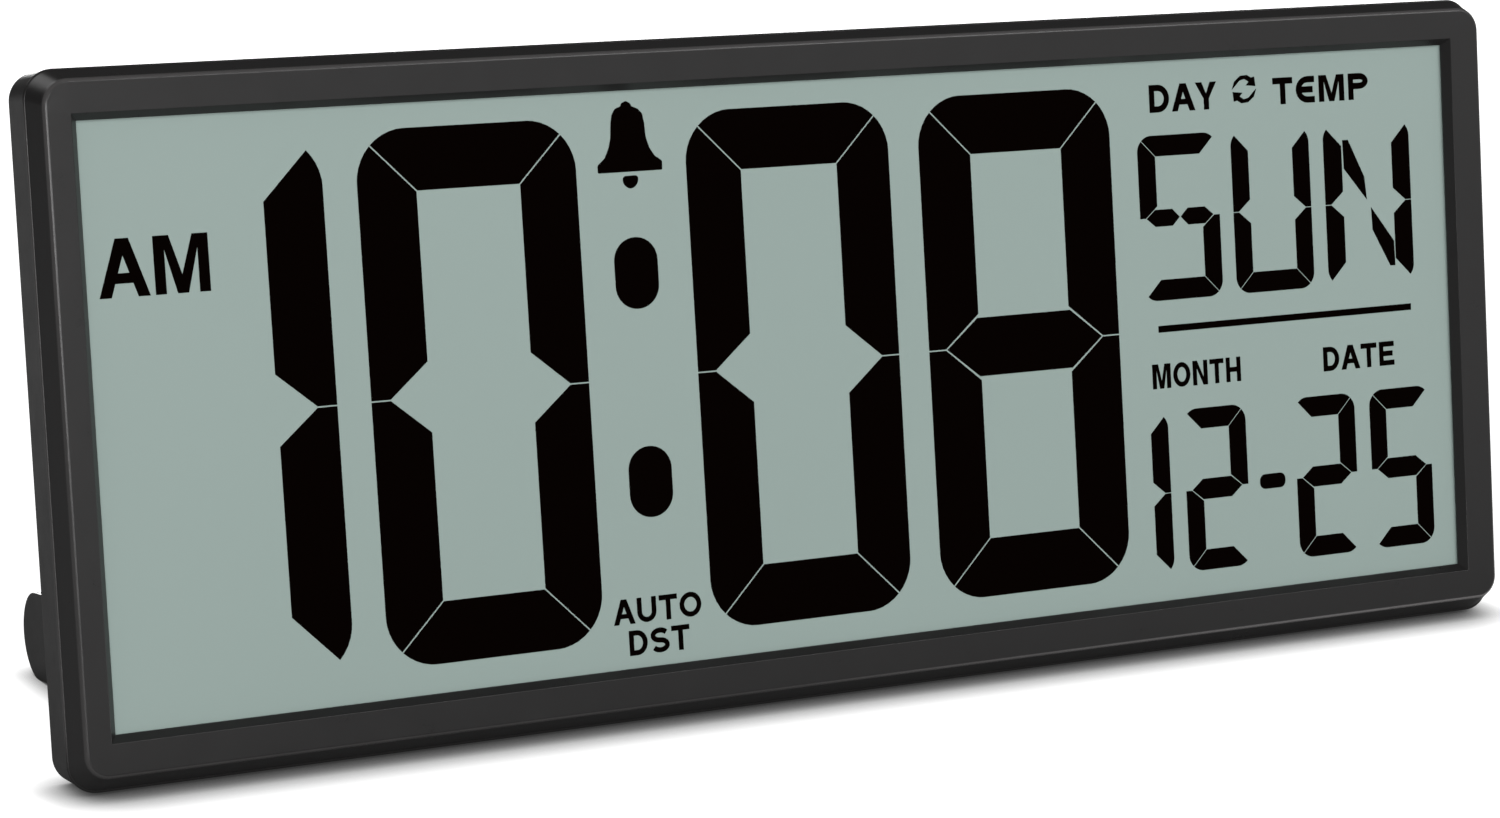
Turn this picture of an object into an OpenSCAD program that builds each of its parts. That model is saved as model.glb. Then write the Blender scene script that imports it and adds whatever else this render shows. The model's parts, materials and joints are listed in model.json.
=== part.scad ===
// Large-digit dementia day clock: display casing, fold-out legs, battery bay and controls.
// Lengths are in millimetres. Each sub-part is drawn upright in the casing's own axes, with
// X to the right, Y to the back from the display's front surface and Z up from the casing's
// middle, and is then leaned back on its legs by standing().

/* [Display] */
// Width of the visible display window
window_w = 338.8; // [300:0.2:420]
// Height of the visible display window
window_h = 125; // [118:0.5:155]
// Sideways place of the window's middle from the casing's middle
window_dx = -1.3; // [-2:0.1:2]
// Glass that is hidden under the frame at each side and at the top
glass_margin = 2; // [1.8:0.1:3]
// Extra depth of the front glass below the rear glass, where the contacts lie
ledge_h = 2.5; // [2.2:0.1:3]
// Thickness of each sheet of glass
glass_t = 1.1; // [0.7:0.1:1.4]
// Thickness of the front polariser
polariser_t = 0.2; // [0.1:0.05:0.3]
// Thickness of the rear polariser with its reflector
reflector_t = 0.3; // [0.2:0.05:0.4]
// Thickness of the foam gasket between frame and display
gasket_t = 0.4; // [0.3:0.05:0.6]
// Width of the foam gasket
gasket_w = 1; // [0.8:0.1:1.2]

/* [Front frame] */
// Window edge to the front ridge, left and right
frame_side = 8.5; // [7.5:0.1:11]
// Window edge to the front ridge, top and bottom
frame_top = 8.6; // [7.6:0.1:11]
// Width of the sloping shoulder outside the ridge, at the sides and the top
shoulder_w = 2.1; // [2:0.1:2.7]
// Width of the sloping shoulder below the ridge
chin_w = 3.65; // [2.7:0.05:4.2]
// Front face to the display's front surface
face_depth = 2.65; // [2.2:0.05:3.4]
// Display's front surface to the seam between frame and rear cover
seam_y = 4.1; // [3.9:0.1:5]
// Corner radius of the outline
corner_r = 6.5; // [6.5:0.5:12]
// Width of the sloping edge around the window
bevel_w = 1.5; // [1:0.1:2]
// Straight land at the window's edge
land_t = 0.35; // [0.2:0.05:0.5]
// Radius of the front ridge
ridge_r = 0.6; // [0.3:0.1:1]
// Height of the straight band at the seam
seam_band = 0.6; // [0.4:0.1:1]
// Thickness of the frame's outer wall behind the shoulder
frame_wall = 2.2; // [2:0.1:2.4]
// Thickness of the tongue that enters the rear cover
tongue_t = 1.2; // [1:0.1:1.4]
// Length of the tongue behind the seam
tongue_l = 1.9; // [1.5:0.1:2.2]
// Thickness of the rib around the glass
glass_rib_t = 0.9; // [0.7:0.1:1]
// Radius of the frame's screw bosses
boss_r = 2; // [1.9:0.1:2.2]

/* [Rear cover] */
// Display's front surface to the flat back
rear_y = 16; // [15.5:0.5:19]
// Display's front surface to the back of the raised housing
hump_y = 26.5; // [26.3:0.1:32]
// Wall thickness of the cover
wall = 2; // [1.6:0.1:2.4]
// Step from the frame's outline in to the cover's outline
cover_inset = 0.6; // [0.4:0.1:0.8]
// Radius of the cover's rear edge
rear_edge_r = 0.8; // [0.5:0.1:1.5]
// Width of the raised housing at its foot
hump_w = 234; // [226:1:250]
// Height of the raised housing at its foot
hump_h = 90; // [90:1:96]
// Sideways slope of the raised housing, foot to back
hump_draft = 3.5; // [2:0.5:3.5]
// Corner radius of the raised housing
hump_r = 8; // [6:0.5:12]
// Radius of the raised housing's rear edge
hump_edge_r = 1; // [0.6:0.1:1.6]
// Casing screws to the outline, up and down
screw_inset = 4.9; // [4.9:0.1:5.2]
// Corner casing screws to the outline, sideways
corner_screw_inset = 10; // [9:0.5:12]
// Distance between the two wall hangers
hanger_pitch = 200; // [196:1:206]
// Radius of a hanger's round entry
hanger_r = 4.5; // [4:0.1:5]
// Width of a hanger's slot
hanger_slot_w = 4.4; // [3.6:0.1:5]
// Rise from a hanger's entry to the end of its slot
hanger_rise = 9; // [8:0.5:11]
// Depth of a hanger's pocket behind its wall
hanger_depth = 7; // [5:0.5:7]

/* [Stand legs] */
// Casing's side to the leg's hinge axis
leg_inset = 25; // [24:0.5:30]
// Thickness of a leg
leg_t = 4.2; // [3.8:0.1:4.4]
// Height of a leg, twice the radius of its round end
leg_h = 20; // [16:0.5:22]
// Hinge axis to the middle of the round end
leg_reach = 79.7; // [60:0.1:84]
// Casing's bottom edge to the middle of the leg
leg_rise = 20.75; // [17.55:0.1:21.55]
// Radius of the steel hinge pin
pin_r = 1; // [0.8:0.05:1.1]
// Depth of the wall beyond a leg that takes the pin
pin_boss_l = 1.5; // [1:0.1:2]

/* [Battery bay] */
// Diameter of a cell
cell_d = 14.5; // [14.3:0.1:14.6]
// Length of a cell with its contact
cell_l = 50.5; // [49:0.5:51]
// Number of cells in the bay
cells = 4; // [4:1:4]
// Free length of a pressed spring
spring_l = 5.1; // [4:0.1:6]
// Wire radius of a spring
spring_wire_r = 0.35; // [0.25:0.05:0.45]
// Wall thickness of the bay
bay_wall = 1.6; // [1.4:0.1:2]
// Front of the bay's floor from the display's front surface
bay_y = 7.5; // [7.5:0.1:8]
// Room below the lowest cell for the door's tabs
tab_room = 3.6; // [3.4:0.1:4]
// Length of the door's tabs behind the wall
tab_l = 2.8; // [2.4:0.1:3]

/* [Controls] */
// Place of the column of buttons to the right of the middle
controls_x = 70; // [68:0.5:72]
// Distance from button to button
button_pitch = 13; // [12.5:0.1:13]
// Width of a button
button_w = 11; // [9:0.5:12]
// Height of a button
button_h = 6; // [5:0.5:7]
// How far a button stands out of the housing
button_proud = 0.8; // [0.5:0.1:1.5]
// Travel of a button
button_travel = 0.5; // [0.3:0.05:0.5]
// Travel of the slide switch
switch_travel = 2.5; // [2:0.1:2.5]
// Thickness of the circuit boards
board_t = 1.2; // [1:0.1:1.6]

/* [Sound and air] */
// Radius of the buzzer's brass disc
buzzer_r = 13.5; // [10:0.5:15]
// Number of ventilation slots
vents = 6; // [4:1:7]
// Length of a ventilation slot
vent_l = 24; // [16:1:26]

/* [Clearances] */
// Gap around the glass
glass_gap = 0.2; // [0.1:0.05:0.3]
// Gap between the frame's tongue and the rear cover
tongue_gap = 0.1; // [0.05:0.05:0.2]
// Gap around a folded leg
leg_gap = 0.25; // [0.2:0.05:0.4]
// Gap between a leg's open side and its stop
stop_gap = 0.15; // [0.1:0.05:0.3]
// Running gap of a leg on its pin
pin_gap = 0.06; // [0.02:0.01:0.1]
// Gap of a screw or pin in the piece that holds it
hold_gap = 0.02; // [0.01:0.01:0.05]
// Gap around the battery door
door_gap = 0.3; // [0.2:0.05:0.5]
// Gap around a button or switch knob
button_gap = 0.2; // [0.15:0.05:0.3]
// Running gap of a plunger in its switch
plunger_gap = 0.08; // [0.04:0.01:0.1]
// Gap between pieces that are laid against each other
seat_gap = 0.1; // [0.05:0.05:0.2]

/* [Hidden] */
$fn = 48;

shell_color = [0.2, 0.2, 0.2];
inner_color = [0.85, 0.85, 0.83];
board_color = [0.1, 0.35, 0.2];
steel_color = [0.75, 0.75, 0.77];
brass_color = [0.8, 0.65, 0.3];
rubber_color = [0.08, 0.08, 0.08];
eps = 0.01;

// Outline of the casing
out_w = window_w + 2 * (frame_side + shoulder_w);
out_top = window_h / 2 + frame_top + shoulder_w;
out_bottom = window_h / 2 + frame_top + chin_w;
out_h = out_top + out_bottom;
out_z = (out_top - out_bottom) / 2;
inner_inset = cover_inset + wall;

// Layers of the display, front to back
lip_y = -gasket_t;
front_glass_y = polariser_t;
rear_glass_y = front_glass_y + glass_t;
reflector_y = rear_glass_y + glass_t;
holder_y = reflector_y + reflector_t;
holder_t = 2.3;
holder_ear_w = 10;
main_board_y = holder_y + holder_t;
main_board_back = main_board_y + board_t;
glass_w = window_w + 2 * glass_margin + 1.2;
glass_top = window_h / 2 + glass_margin;
rear_glass_bottom = -window_h / 2 - 1;
glass_bottom = rear_glass_bottom - ledge_h;

// Screws that join the frame and the cover
screw_zs = [screw_inset - out_bottom, out_top - screw_inset];
outer_screw_x = out_w / 2 - corner_screw_inset;
boss_top = seam_y + 2.4;
screw_seat_y = boss_top + 2.5;
screw_head_r = 2.2;
screw_head_t = 1.5;
screw_r = 1.1;
screw_end_y = 1.2;
pillar_r = 3.2;

// Legs, hinge pins and their recesses
pin_x = out_w / 2 - leg_inset;
pin_y = rear_y - 0.1 - leg_t / 2;
leg_z = leg_rise - out_bottom;
leg_end_y = pin_y + leg_reach;
leg_end_r = leg_h / 2;
recess_floor = pin_y - leg_t / 2 - 0.3;
recess_in_x = pin_x - leg_reach;
recess_wall = 1.6;
recess_half = leg_h / 2 + leg_gap;
notch_r = 7;
notch_x = recess_in_x - leg_end_r - 3;
inner_screw_x = recess_in_x - leg_end_r - 9.3;
ear_x = (inner_screw_x + outer_screw_x) / 2;

// The angle at which the rear edge and both leg ends touch one plane
edge_y = rear_y - rear_edge_r;
edge_z = rear_edge_r + cover_inset - out_bottom;
foot_dy = leg_end_y - edge_y;
foot_dz = leg_z - edge_z;
lean = atan2(foot_dz, foot_dy) - asin((leg_end_r - rear_edge_r) / norm([foot_dy, foot_dz]));
stand_dz = leg_end_y * sin(lean) - leg_z * cos(lean) + leg_end_r;
face_bottom = out_bottom - chin_w - ridge_r;
front_reach = -face_depth * cos(lean) - face_bottom * sin(lean);
back_reach = leg_end_y * cos(lean) + leg_z * sin(lean) + leg_end_r;
stand_dy = -(front_reach + back_reach) / 2;

// Raised housing
hump_bottom = leg_z + recess_half + recess_wall + 2.15;
hump_z = hump_bottom + hump_h / 2;
hump_inside = hump_y - wall;

// Battery bay and its door
contact_t = 0.4;
dimple_t = 0.8;
cell_pitch = cell_d + 0.5;
bay_half_w = (cell_l + dimple_t + spring_l + 2 * contact_t) / 2;
cell_y = bay_y + bay_wall + seat_gap + cell_d / 2;
bay_z = hump_z + 0.5;
cell_z0 = bay_z - cell_pitch * (cells - 1) / 2;
door_bottom = cell_z0 - cell_d / 2 - 0.35;
bay_bottom = door_bottom - tab_room;
bay_top = cell_z0 + cell_pitch * (cells - 1) + cell_d / 2 + 0.75;
door_top = bay_top + 1.3;
door_half_w = bay_half_w + 1.7;
rim_w = 3.2;
rim_l = 3;
door_inside = hump_inside + seat_gap;
tab_x = 16;
tab_w = 8;
tab_t = 1.7;
tab_y = hump_inside - 0.3;

// Controls on their own board
board_back = hump_inside - 8.5;
board_front = board_back - board_t;
board_w = 24;
button_z0 = hump_z + 33;
buttons = 5;
switch_z = button_z0 - button_pitch * buttons;
board_top = button_z0 + 5;
board_bottom = switch_z - 7.5;
post_dx = 9;
post_zs = [button_z0 - button_pitch / 2, button_z0 - 4.5 * button_pitch];
post_r = 2;
small_screw_r = 0.9;
tact_size = 6;
tact_t = 3.5;
plunger_r = 1.7;
plunger_back = board_back + 4.5;
plunger_front = board_back + 1.8;
flange_t = 1;
flange_y = hump_inside - 0.3 - flange_t;
knob_w = 4;
knob_l = 5;
stem_w = 1.8;
knob_seat = switch_z - switch_travel / 2;

// Main board, its parts and the vents over the sensor
main_board_w = 330;
main_board_top = glass_bottom + 34;
board_screw_xs = [-150, -50, 50, 150];
board_screw_z = main_board_top - 4;
zebra_l = ear_x - 13;
zebra_w = 1.8;
zebra_z = glass_bottom + 0.2;
sensor_x = -138;
vent_w = 1.6;
vent_pitch = 4.4;
vent_z = main_board_top + 12;

// Buzzer
buzzer_x = -70;
buzzer_z = hump_z;
buzzer_y = hump_inside - 2;
disc_t = 0.3;
ceramic_t = 0.2;

// ---- helpers ----

// Leans the upright casing back and sets it on the ground, centred front to back
module standing() {
    translate([0, stand_dy, stand_dz]) rotate([-lean, 0, 0]) children();
}

module both_sides() {
    children();
    mirror([1, 0, 0]) children();
}

// Rounded rectangle, centred
module rounded(w, h, r) {
    square([w - 2 * r, h], center = true);
    square([w, h - 2 * r], center = true);
    for (x = [-1, 1], z = [-1, 1]) translate([x * (w / 2 - r), z * (h / 2 - r)]) circle(r);
}

// Upright sheet of a 2D outline between two depths
module sheet(y0, y1) {
    translate([0, y1, 0]) rotate([90, 0, 0]) linear_extrude(y1 - y0) children();
}

// Outline of the casing drawn in by an inset, and further at its lower edge, between two depths
module casing_sheet(inset, y0, y1, low = 0) {
    translate([0, 0, out_z + low / 2])
        sheet(y0, y1) rounded(out_w - 2 * inset, out_h - 2 * inset - low, corner_r - inset);
}

// Box from one corner to the other
module box(low, high) {
    translate(low) cube(high - low);
}

// Round bar or hole along Y
module rod(x, z, r, y0, y1) {
    translate([x, y1, z]) rotate([90, 0, 0]) cylinder(r = r, h = y1 - y0);
}

// Bar or hole with round ends along X, extruded along Y
module pill(x, z, w, h, y0, y1) {
    for (s = [-1, 1]) rod(x + s * (w - h) / 2, z, h / 2, y0, y1);
    box([x - (w - h) / 2, y0, z - h / 2], [x + (w - h) / 2, y1, z + h / 2]);
}

// Closed solid through rings of points, which run from front to back
module skin(rings) {
    m = len(rings[0]);
    last = len(rings) - 1;
    walls = [for (i = [0:last - 1], k = [0:m - 1]) let (j = (k + 1) % m)
        [i * m + k, i * m + j, (i + 1) * m + j, (i + 1) * m + k]];
    caps = [[for (k = [m - 1:-1:0]) k], [for (k = [0:m - 1]) last * m + k]];
    polyhedron([for (ring = rings) each ring], concat(walls, caps), convexity = 4);
}

// Rounded rectangle as a ring of points at one depth, its middle at a height
function ring(w, h, r, y, steps = 14, z = 0) =
    [for (c = [[1, 1, 0], [-1, 1, 90], [-1, -1, 180], [1, -1, 270]], k = [0:steps])
        let (a = c[2] + 90 * k / steps)
        [c[0] * (w / 2 - r) + r * cos(a), y, z + c[1] * (h / 2 - r) + r * sin(a)]];

function rectangle(w, h, y) =
    [[w / 2, y, h / 2], [-w / 2, y, h / 2], [-w / 2, y, -h / 2], [w / 2, y, -h / 2]];

function casing_ring(inset, y, low = 0) =
    ring(out_w - 2 * inset, out_h - 2 * inset - low, corner_r - inset, y, z = out_z + low / 2);

// Quarter round at a rear edge as [inset, y] steps
function rear_round(r, inset, y_end, step = 18) =
    [for (a = [0:step:90]) [inset + r * (1 - cos(a)), y_end - r * (1 - sin(a))]];

// Screw along Y with its head at the back
module screw(x, z, seat_y, end_y, r, head_r, head_t) {
    rod(x, z, r, end_y, seat_y);
    rod(x, z, head_r, seat_y, seat_y + head_t);
}

// Tube swept along a list of points
function unit(v) = v / norm(v);
function tangent(path, i) =
    unit(path[min(i + 1, len(path) - 1)] - path[max(i - 1, 0)]);
module tube(path, r, side, sides = 8) {
    skin([for (i = [0:len(path) - 1])
        let (t = tangent(path, i), u = unit(cross(t, side)), v = cross(u, t))
        [for (k = [0:sides - 1]) path[i] + r * (cos(360 * k / sides) * u + sin(360 * k / sides) * v)]]);
}

// ---- front frame ----

front_profile = [
    [shoulder_w + ridge_r, -face_depth],
    [shoulder_w + ridge_r * 0.4, -face_depth + ridge_r * 0.2],
    [shoulder_w, -face_depth + ridge_r],
    [shoulder_w * 0.06, seam_y - seam_band - 0.3],
    [0, seam_y - seam_band],
    [0, seam_y]
];

// How much further than at the top the shoulder runs in at the lower edge
function chin_extra(inset) = min(inset / shoulder_w, 1) * (chin_w - shoulder_w);

module tongue() {
    difference() {
        union() {
            casing_sheet(frame_wall - 0.3, 2, seam_y);
            casing_sheet(inner_inset + tongue_gap, seam_y - eps, seam_y + tongue_l);
        }
        casing_sheet(inner_inset + tongue_gap + tongue_t, 1, seam_y + tongue_l + 1);
        for (x = [-ear_x, ear_x], z = screw_zs)
            box([x - 6, seam_y - 0.9, z - boss_r - screw_inset],
                [x + 6, seam_y + tongue_l + 1, z + boss_r + screw_inset]);
    }
}

module front_frame() standing() color(shell_color) difference() {
    union() {
        difference() {
            skin([for (p = front_profile) casing_ring(p[0], p[1], chin_extra(p[0]))]);
            casing_sheet(frame_wall + 1.2, lip_y, seam_y + 1, chin_extra(shoulder_w) / 2);
            casing_sheet(frame_wall, 1.5, seam_y + 1);
        }
        tongue();
        difference() {
            box([window_dx - glass_w / 2 - glass_gap - glass_rib_t, lip_y - eps,
                 glass_bottom - glass_gap - glass_rib_t],
                [window_dx + glass_w / 2 + glass_gap + glass_rib_t, 1.5,
                 glass_top + glass_gap + glass_rib_t]);
            box([window_dx - glass_w / 2 - glass_gap, lip_y - 1, glass_bottom - glass_gap],
                [window_dx + glass_w / 2 + glass_gap, 2, glass_top + glass_gap]);
        }
        for (x = [-outer_screw_x, -inner_screw_x, inner_screw_x, outer_screw_x], z = screw_zs)
            rod(x, z, boss_r, lip_y - eps, boss_top);
        for (x = [-ear_x, ear_x], z = screw_zs)
            rod(x, z, boss_r, lip_y - eps, holder_y + 0.7);
    }
    translate([window_dx, 0, 0]) {
        box([-window_w / 2, -face_depth - 1, -window_h / 2], [window_w / 2, 0, window_h / 2]);
        window_bevel();
    }
    for (x = [-outer_screw_x, -inner_screw_x, inner_screw_x, outer_screw_x], z = screw_zs)
        rod(x, z, screw_r + hold_gap, screw_end_y - 0.5, boss_top + 1);
    for (x = [-ear_x, ear_x], z = screw_zs)
        rod(x, z, small_screw_r + hold_gap, 0.2, holder_y + 2);
}

// Cutter for the slope around the window, carried a little past the front face
module window_bevel() {
    over = 0.5;
    slope = bevel_w / (face_depth - gasket_t - land_t);
    grow = bevel_w + over * slope;
    skin([
        rectangle(window_w + 2 * grow, window_h + 2 * grow, -face_depth - over),
        rectangle(window_w, window_h, lip_y - land_t)
    ]);
}

// ---- display ----

module lcd_gasket() standing() color(rubber_color) translate([window_dx, 0, 0]) difference() {
    inner = 0.6;
    outer = inner + gasket_w;
    box([-window_w / 2 - outer, lip_y, -window_h / 2 - outer],
        [window_w / 2 + outer, 0, window_h / 2 + outer]);
    box([-window_w / 2 - inner, lip_y - 1, -window_h / 2 - inner],
        [window_w / 2 + inner, 1, window_h / 2 + inner]);
}

module front_polariser() standing() color([0.6, 0.66, 0.63]) {
    edge = 0.6 + gasket_w;
    box([window_dx - window_w / 2 - edge, 0, -window_h / 2 - edge],
        [window_dx + window_w / 2 + edge, polariser_t, window_h / 2 + edge]);
}

module glass_sheet(y0, bottom) {
    box([window_dx - glass_w / 2, y0, bottom], [window_dx + glass_w / 2, y0 + glass_t, glass_top]);
}

module front_glass() standing() color([0.8, 0.9, 0.88, 0.5]) glass_sheet(front_glass_y, glass_bottom);

module rear_glass() standing() color([0.8, 0.9, 0.88, 0.5]) glass_sheet(rear_glass_y, rear_glass_bottom);

module rear_reflector() standing() color([0.72, 0.75, 0.73])
    box([window_dx - glass_w / 2 + 1, reflector_y, rear_glass_bottom + 0.5],
        [window_dx + glass_w / 2 - 1, holder_y, glass_top - 1]);

// Strip of rubber layers that joins the glass's contacts to the board
module zebra_strip(side) standing() color(rubber_color)
    box([side * (zebra_l / 2 + 5) - zebra_l / 2, rear_glass_y, zebra_z],
        [side * (zebra_l / 2 + 5) + zebra_l / 2, main_board_y, zebra_z + zebra_w]);

module lcd_holder() standing() color(inner_color) difference() {
    rail = 8;
    left = window_dx - glass_w / 2 + 0.5;
    right = window_dx + glass_w / 2 - 0.5;
    bay_pitch = (right - left - rail) / 4;
    union() {
        box([left, holder_y, glass_bottom], [right, main_board_y, glass_top + 0.5]);
        for (x = [-ear_x, ear_x]) {
            box([x - holder_ear_w / 2, holder_y + 0.7, glass_top],
                [x + holder_ear_w / 2, main_board_y, out_top - 3]);
            box([x - holder_ear_w / 2, holder_y + 0.7, 3 - out_bottom],
                [x + holder_ear_w / 2, main_board_y, glass_bottom + 1]);
        }
    }
    for (i = [0:3])
        box([left + rail + i * bay_pitch, holder_y - 1, main_board_top + rail],
            [left + (i + 1) * bay_pitch, main_board_y + 1, glass_top - rail]);
    for (s = [-1, 1])
        box([s * (zebra_l / 2 + 5) - zebra_l / 2 - seat_gap, holder_y - 1, glass_bottom - 1],
            [s * (zebra_l / 2 + 5) + zebra_l / 2 + seat_gap, main_board_y + 1,
             zebra_z + zebra_w + seat_gap]);
    for (x = [-ear_x, ear_x], z = screw_zs)
        rod(x, z, small_screw_r + hold_gap, holder_y - 1, main_board_y + 1);
    for (x = board_screw_xs)
        rod(x, board_screw_z, small_screw_r + hold_gap, holder_y - 1, main_board_y + 1);
}

module holder_screws() standing() color(steel_color)
    for (x = [-ear_x, ear_x], z = screw_zs)
        screw(x, z, main_board_y, 0.6, small_screw_r, 1.9, 1.3);

// ---- main board ----

module main_board() standing() color(board_color) difference() {
    box([-main_board_w / 2, main_board_y, glass_bottom],
        [main_board_w / 2, main_board_back, main_board_top]);
    for (x = board_screw_xs)
        rod(x, board_screw_z, small_screw_r + 0.2, main_board_y - 1, main_board_back + 1);
    for (x = [-ear_x, ear_x])
        box([x - holder_ear_w / 2 - 0.2, main_board_y - 1, glass_bottom - 1],
            [x + holder_ear_w / 2 + 0.2, main_board_back + 1, glass_bottom + 1.2]);
}

module board_to_holder_screws() standing() color(steel_color)
    for (x = board_screw_xs)
        screw(x, board_screw_z, main_board_back, holder_y + 0.3, small_screw_r, 1.8, 1.2);

module driver_chip() standing() color([0.05, 0.05, 0.05]) {
    chip_z = glass_bottom + 15;
    dome_r = 16;
    dome_t = 1.6;
    intersection() {
        translate([0, main_board_back + dome_t - dome_r, chip_z]) sphere(dome_r, $fn = 240);
        box([-10, main_board_back, chip_z - 10], [10, main_board_back + dome_t + 1, chip_z + 10]);
    }
}

module clock_crystal() standing() color(steel_color)
    translate([-19, main_board_back + 1, glass_bottom + 22]) rotate([0, 90, 0]) cylinder(r = 1, h = 6);

module capacitor(i) standing() color([0.1, 0.12, 0.3])
    rod(20 + 8 * i, glass_bottom + 20, 2.5, main_board_back, main_board_back + 7);

module chip_resistors() standing() color([0.1, 0.1, 0.1])
    for (i = [0:4], s = [-1, 1])
        translate([s * (14 + 4 * i) - 1, main_board_back, glass_bottom + 8]) cube([2, 0.5, 1.25]);

module temperature_sensor() standing() color([0.15, 0.12, 0.1]) {
    bead_y = main_board_back + 1.2;
    bead_z = main_board_top + 8;
    translate([sensor_x, bead_y, bead_z]) sphere(1.4);
    for (s = [-0.9, 0.9])
        translate([sensor_x + s, main_board_back + 0.25, main_board_top - 4])
            cylinder(r = 0.25, h = bead_z - main_board_top + 4, $fn = 16);
}

// ---- rear cover ----

// Raised housing, or its inside where an inset is given
module hump_solid(inset, y0, y1, edge_r) {
    w = hump_w - 2 * inset;
    h = hump_h - 2 * inset;
    r = hump_r - inset;
    slope = [for (p = rear_round(edge_r, hump_draft, y1, 30))
        ring(w - 2 * p[0], h - 2 * p[0], r - p[0] / 2, p[1], 8)];
    translate([0, 0, hump_z]) skin(concat([ring(w, h, r, y0, 8)], slope));
}

module cover_shell() {
    rim = concat([[cover_inset, seam_y]], rear_round(rear_edge_r, cover_inset, rear_y));
    difference() {
        union() {
            skin([for (p = rim) casing_ring(p[0], p[1])]);
            hump_solid(0, rear_y - wall, hump_y, hump_edge_r);
        }
        casing_sheet(inner_inset, seam_y - 1, rear_y - wall);
        hump_solid(wall, rear_y - wall - eps, hump_inside, 0.4);
    }
}

module leg_housing() {
    box([-pin_x - leg_t / 2 - stop_gap - recess_wall, recess_floor - recess_wall,
         leg_z - recess_half - recess_wall],
        [-recess_in_x, rear_y - 1, leg_z + recess_half + recess_wall]);
    rod(-recess_in_x, leg_z, recess_half + recess_wall, recess_floor - recess_wall, rear_y - 1);
    rod(-notch_x, leg_z, notch_r + recess_wall, recess_floor - recess_wall, rear_y - 1);
    translate([-pin_x, pin_y, leg_z - recess_half - recess_wall - pin_boss_l])
        cylinder(r = pin_r + 1.1, h = 2 * (recess_half + recess_wall + pin_boss_l));
}

module leg_recess() {
    box([-pin_x - leg_t / 2 - stop_gap, recess_floor, leg_z - recess_half],
        [-recess_in_x, rear_y + 1, leg_z + recess_half]);
    rod(-recess_in_x, leg_z, recess_half, recess_floor, rear_y + 1);
    rod(-notch_x, leg_z, notch_r, recess_floor, rear_y + 1);
    translate([-pin_x, pin_y, leg_z - recess_half - recess_wall - pin_boss_l - 1])
        cylinder(r = pin_r + hold_gap, h = 2 * (recess_half + recess_wall + pin_boss_l + 1));
}

hanger_z = hump_z + 19;

module hanger_pocket(grow) {
    box([hanger_pitch / 2 - 7 - grow, hump_inside - hanger_depth - grow, hanger_z - 7 - grow],
        [hanger_pitch / 2 + 7 + grow, hump_inside + grow / 10, hanger_z + hanger_rise + 5 + grow]);
}

module hanger_keyhole() {
    x = hanger_pitch / 2;
    rod(x, hanger_z, hanger_r, hump_inside - eps, hump_y + 1);
    rod(x, hanger_z + hanger_rise, hanger_slot_w / 2, hump_inside - eps, hump_y + 1);
    box([x - hanger_slot_w / 2, hump_inside - eps, hanger_z],
        [x + hanger_slot_w / 2, hump_y + 1, hanger_z + hanger_rise]);
}

// Pillars with sunk screw heads
module cover_pillars() {
    for (x = [-outer_screw_x, -inner_screw_x, inner_screw_x, outer_screw_x], z = screw_zs)
        intersection() {
            rod(x, z, pillar_r, boss_top, rear_y - 1);
            casing_sheet(cover_inset + 0.5, 0, rear_y);
        }
}

module pillar_holes() {
    for (x = [-outer_screw_x, -inner_screw_x, inner_screw_x, outer_screw_x], z = screw_zs) {
        rod(x, z, screw_r + 0.2, boss_top - 1, screw_seat_y + eps);
        rod(x, z, screw_head_r + 0.2, screw_seat_y, rear_y + 1);
    }
}

module bay_box() {
    box([-bay_half_w - bay_wall, bay_y, bay_bottom - bay_wall],
        [bay_half_w + bay_wall, hump_inside + eps, bay_top + bay_wall]);
    // rim that the door lies on
    box([-bay_half_w - rim_w, hump_inside - rim_l, bay_bottom - bay_wall],
        [bay_half_w + rim_w, hump_inside + eps, bay_top + rim_w]);
}

module bay_hollow() {
    box([-bay_half_w, bay_y + bay_wall, bay_bottom], [bay_half_w, hump_inside, bay_top]);
    box([-door_half_w - door_gap, hump_inside, door_bottom],
        [door_half_w + door_gap, hump_y + 1, door_top + door_gap]);
    // slots for the two solder tabs
    for (z = [cell_z0, cell_z0 + cell_pitch * (cells - 1)])
        box([bay_half_w - contact_t - seat_gap, bay_y - 1, z - 1.6],
            [bay_half_w, bay_y + bay_wall + 1, z + 1.6]);
    // shallow grip beside the latch
    rod(0, door_top + 1, 9, hump_y - 0.9, hump_y + 1);
}

// Low ribs between neighbouring cells
module bay_ribs() {
    for (i = [1:cells - 1])
        box([-bay_half_w + 8, bay_y + bay_wall - eps, cell_z0 + cell_pitch * (i - 0.5) - 0.5],
            [bay_half_w - 8, bay_y + bay_wall + 3, cell_z0 + cell_pitch * (i - 0.5) + 0.5]);
}

module buzzer_seat() {
    difference() {
        rod(buzzer_x, buzzer_z, buzzer_r + 1.4, buzzer_y - disc_t, hump_inside + eps);
        rod(buzzer_x, buzzer_z, buzzer_r + 0.2, buzzer_y - disc_t - 1, buzzer_y);
        rod(buzzer_x, buzzer_z, buzzer_r - 1.2, buzzer_y - 1, hump_inside);
    }
}

module control_holes() {
    for (i = [0:buttons - 1])
        pill(controls_x, button_z0 - button_pitch * i, button_w + 2 * button_gap,
             button_h + 2 * button_gap, hump_inside - 1, hump_y + 1);
    box([controls_x - knob_w / 2 - button_gap, hump_inside - 1,
         switch_z - (knob_l + switch_travel) / 2 - button_gap],
        [controls_x + knob_w / 2 + button_gap, hump_y + 1,
         switch_z + (knob_l + switch_travel) / 2 + button_gap]);
    for (x = [-post_dx, post_dx], z = post_zs)
        rod(controls_x + x, z, small_screw_r + hold_gap, board_back - 1, board_back + 5);
}

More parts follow.
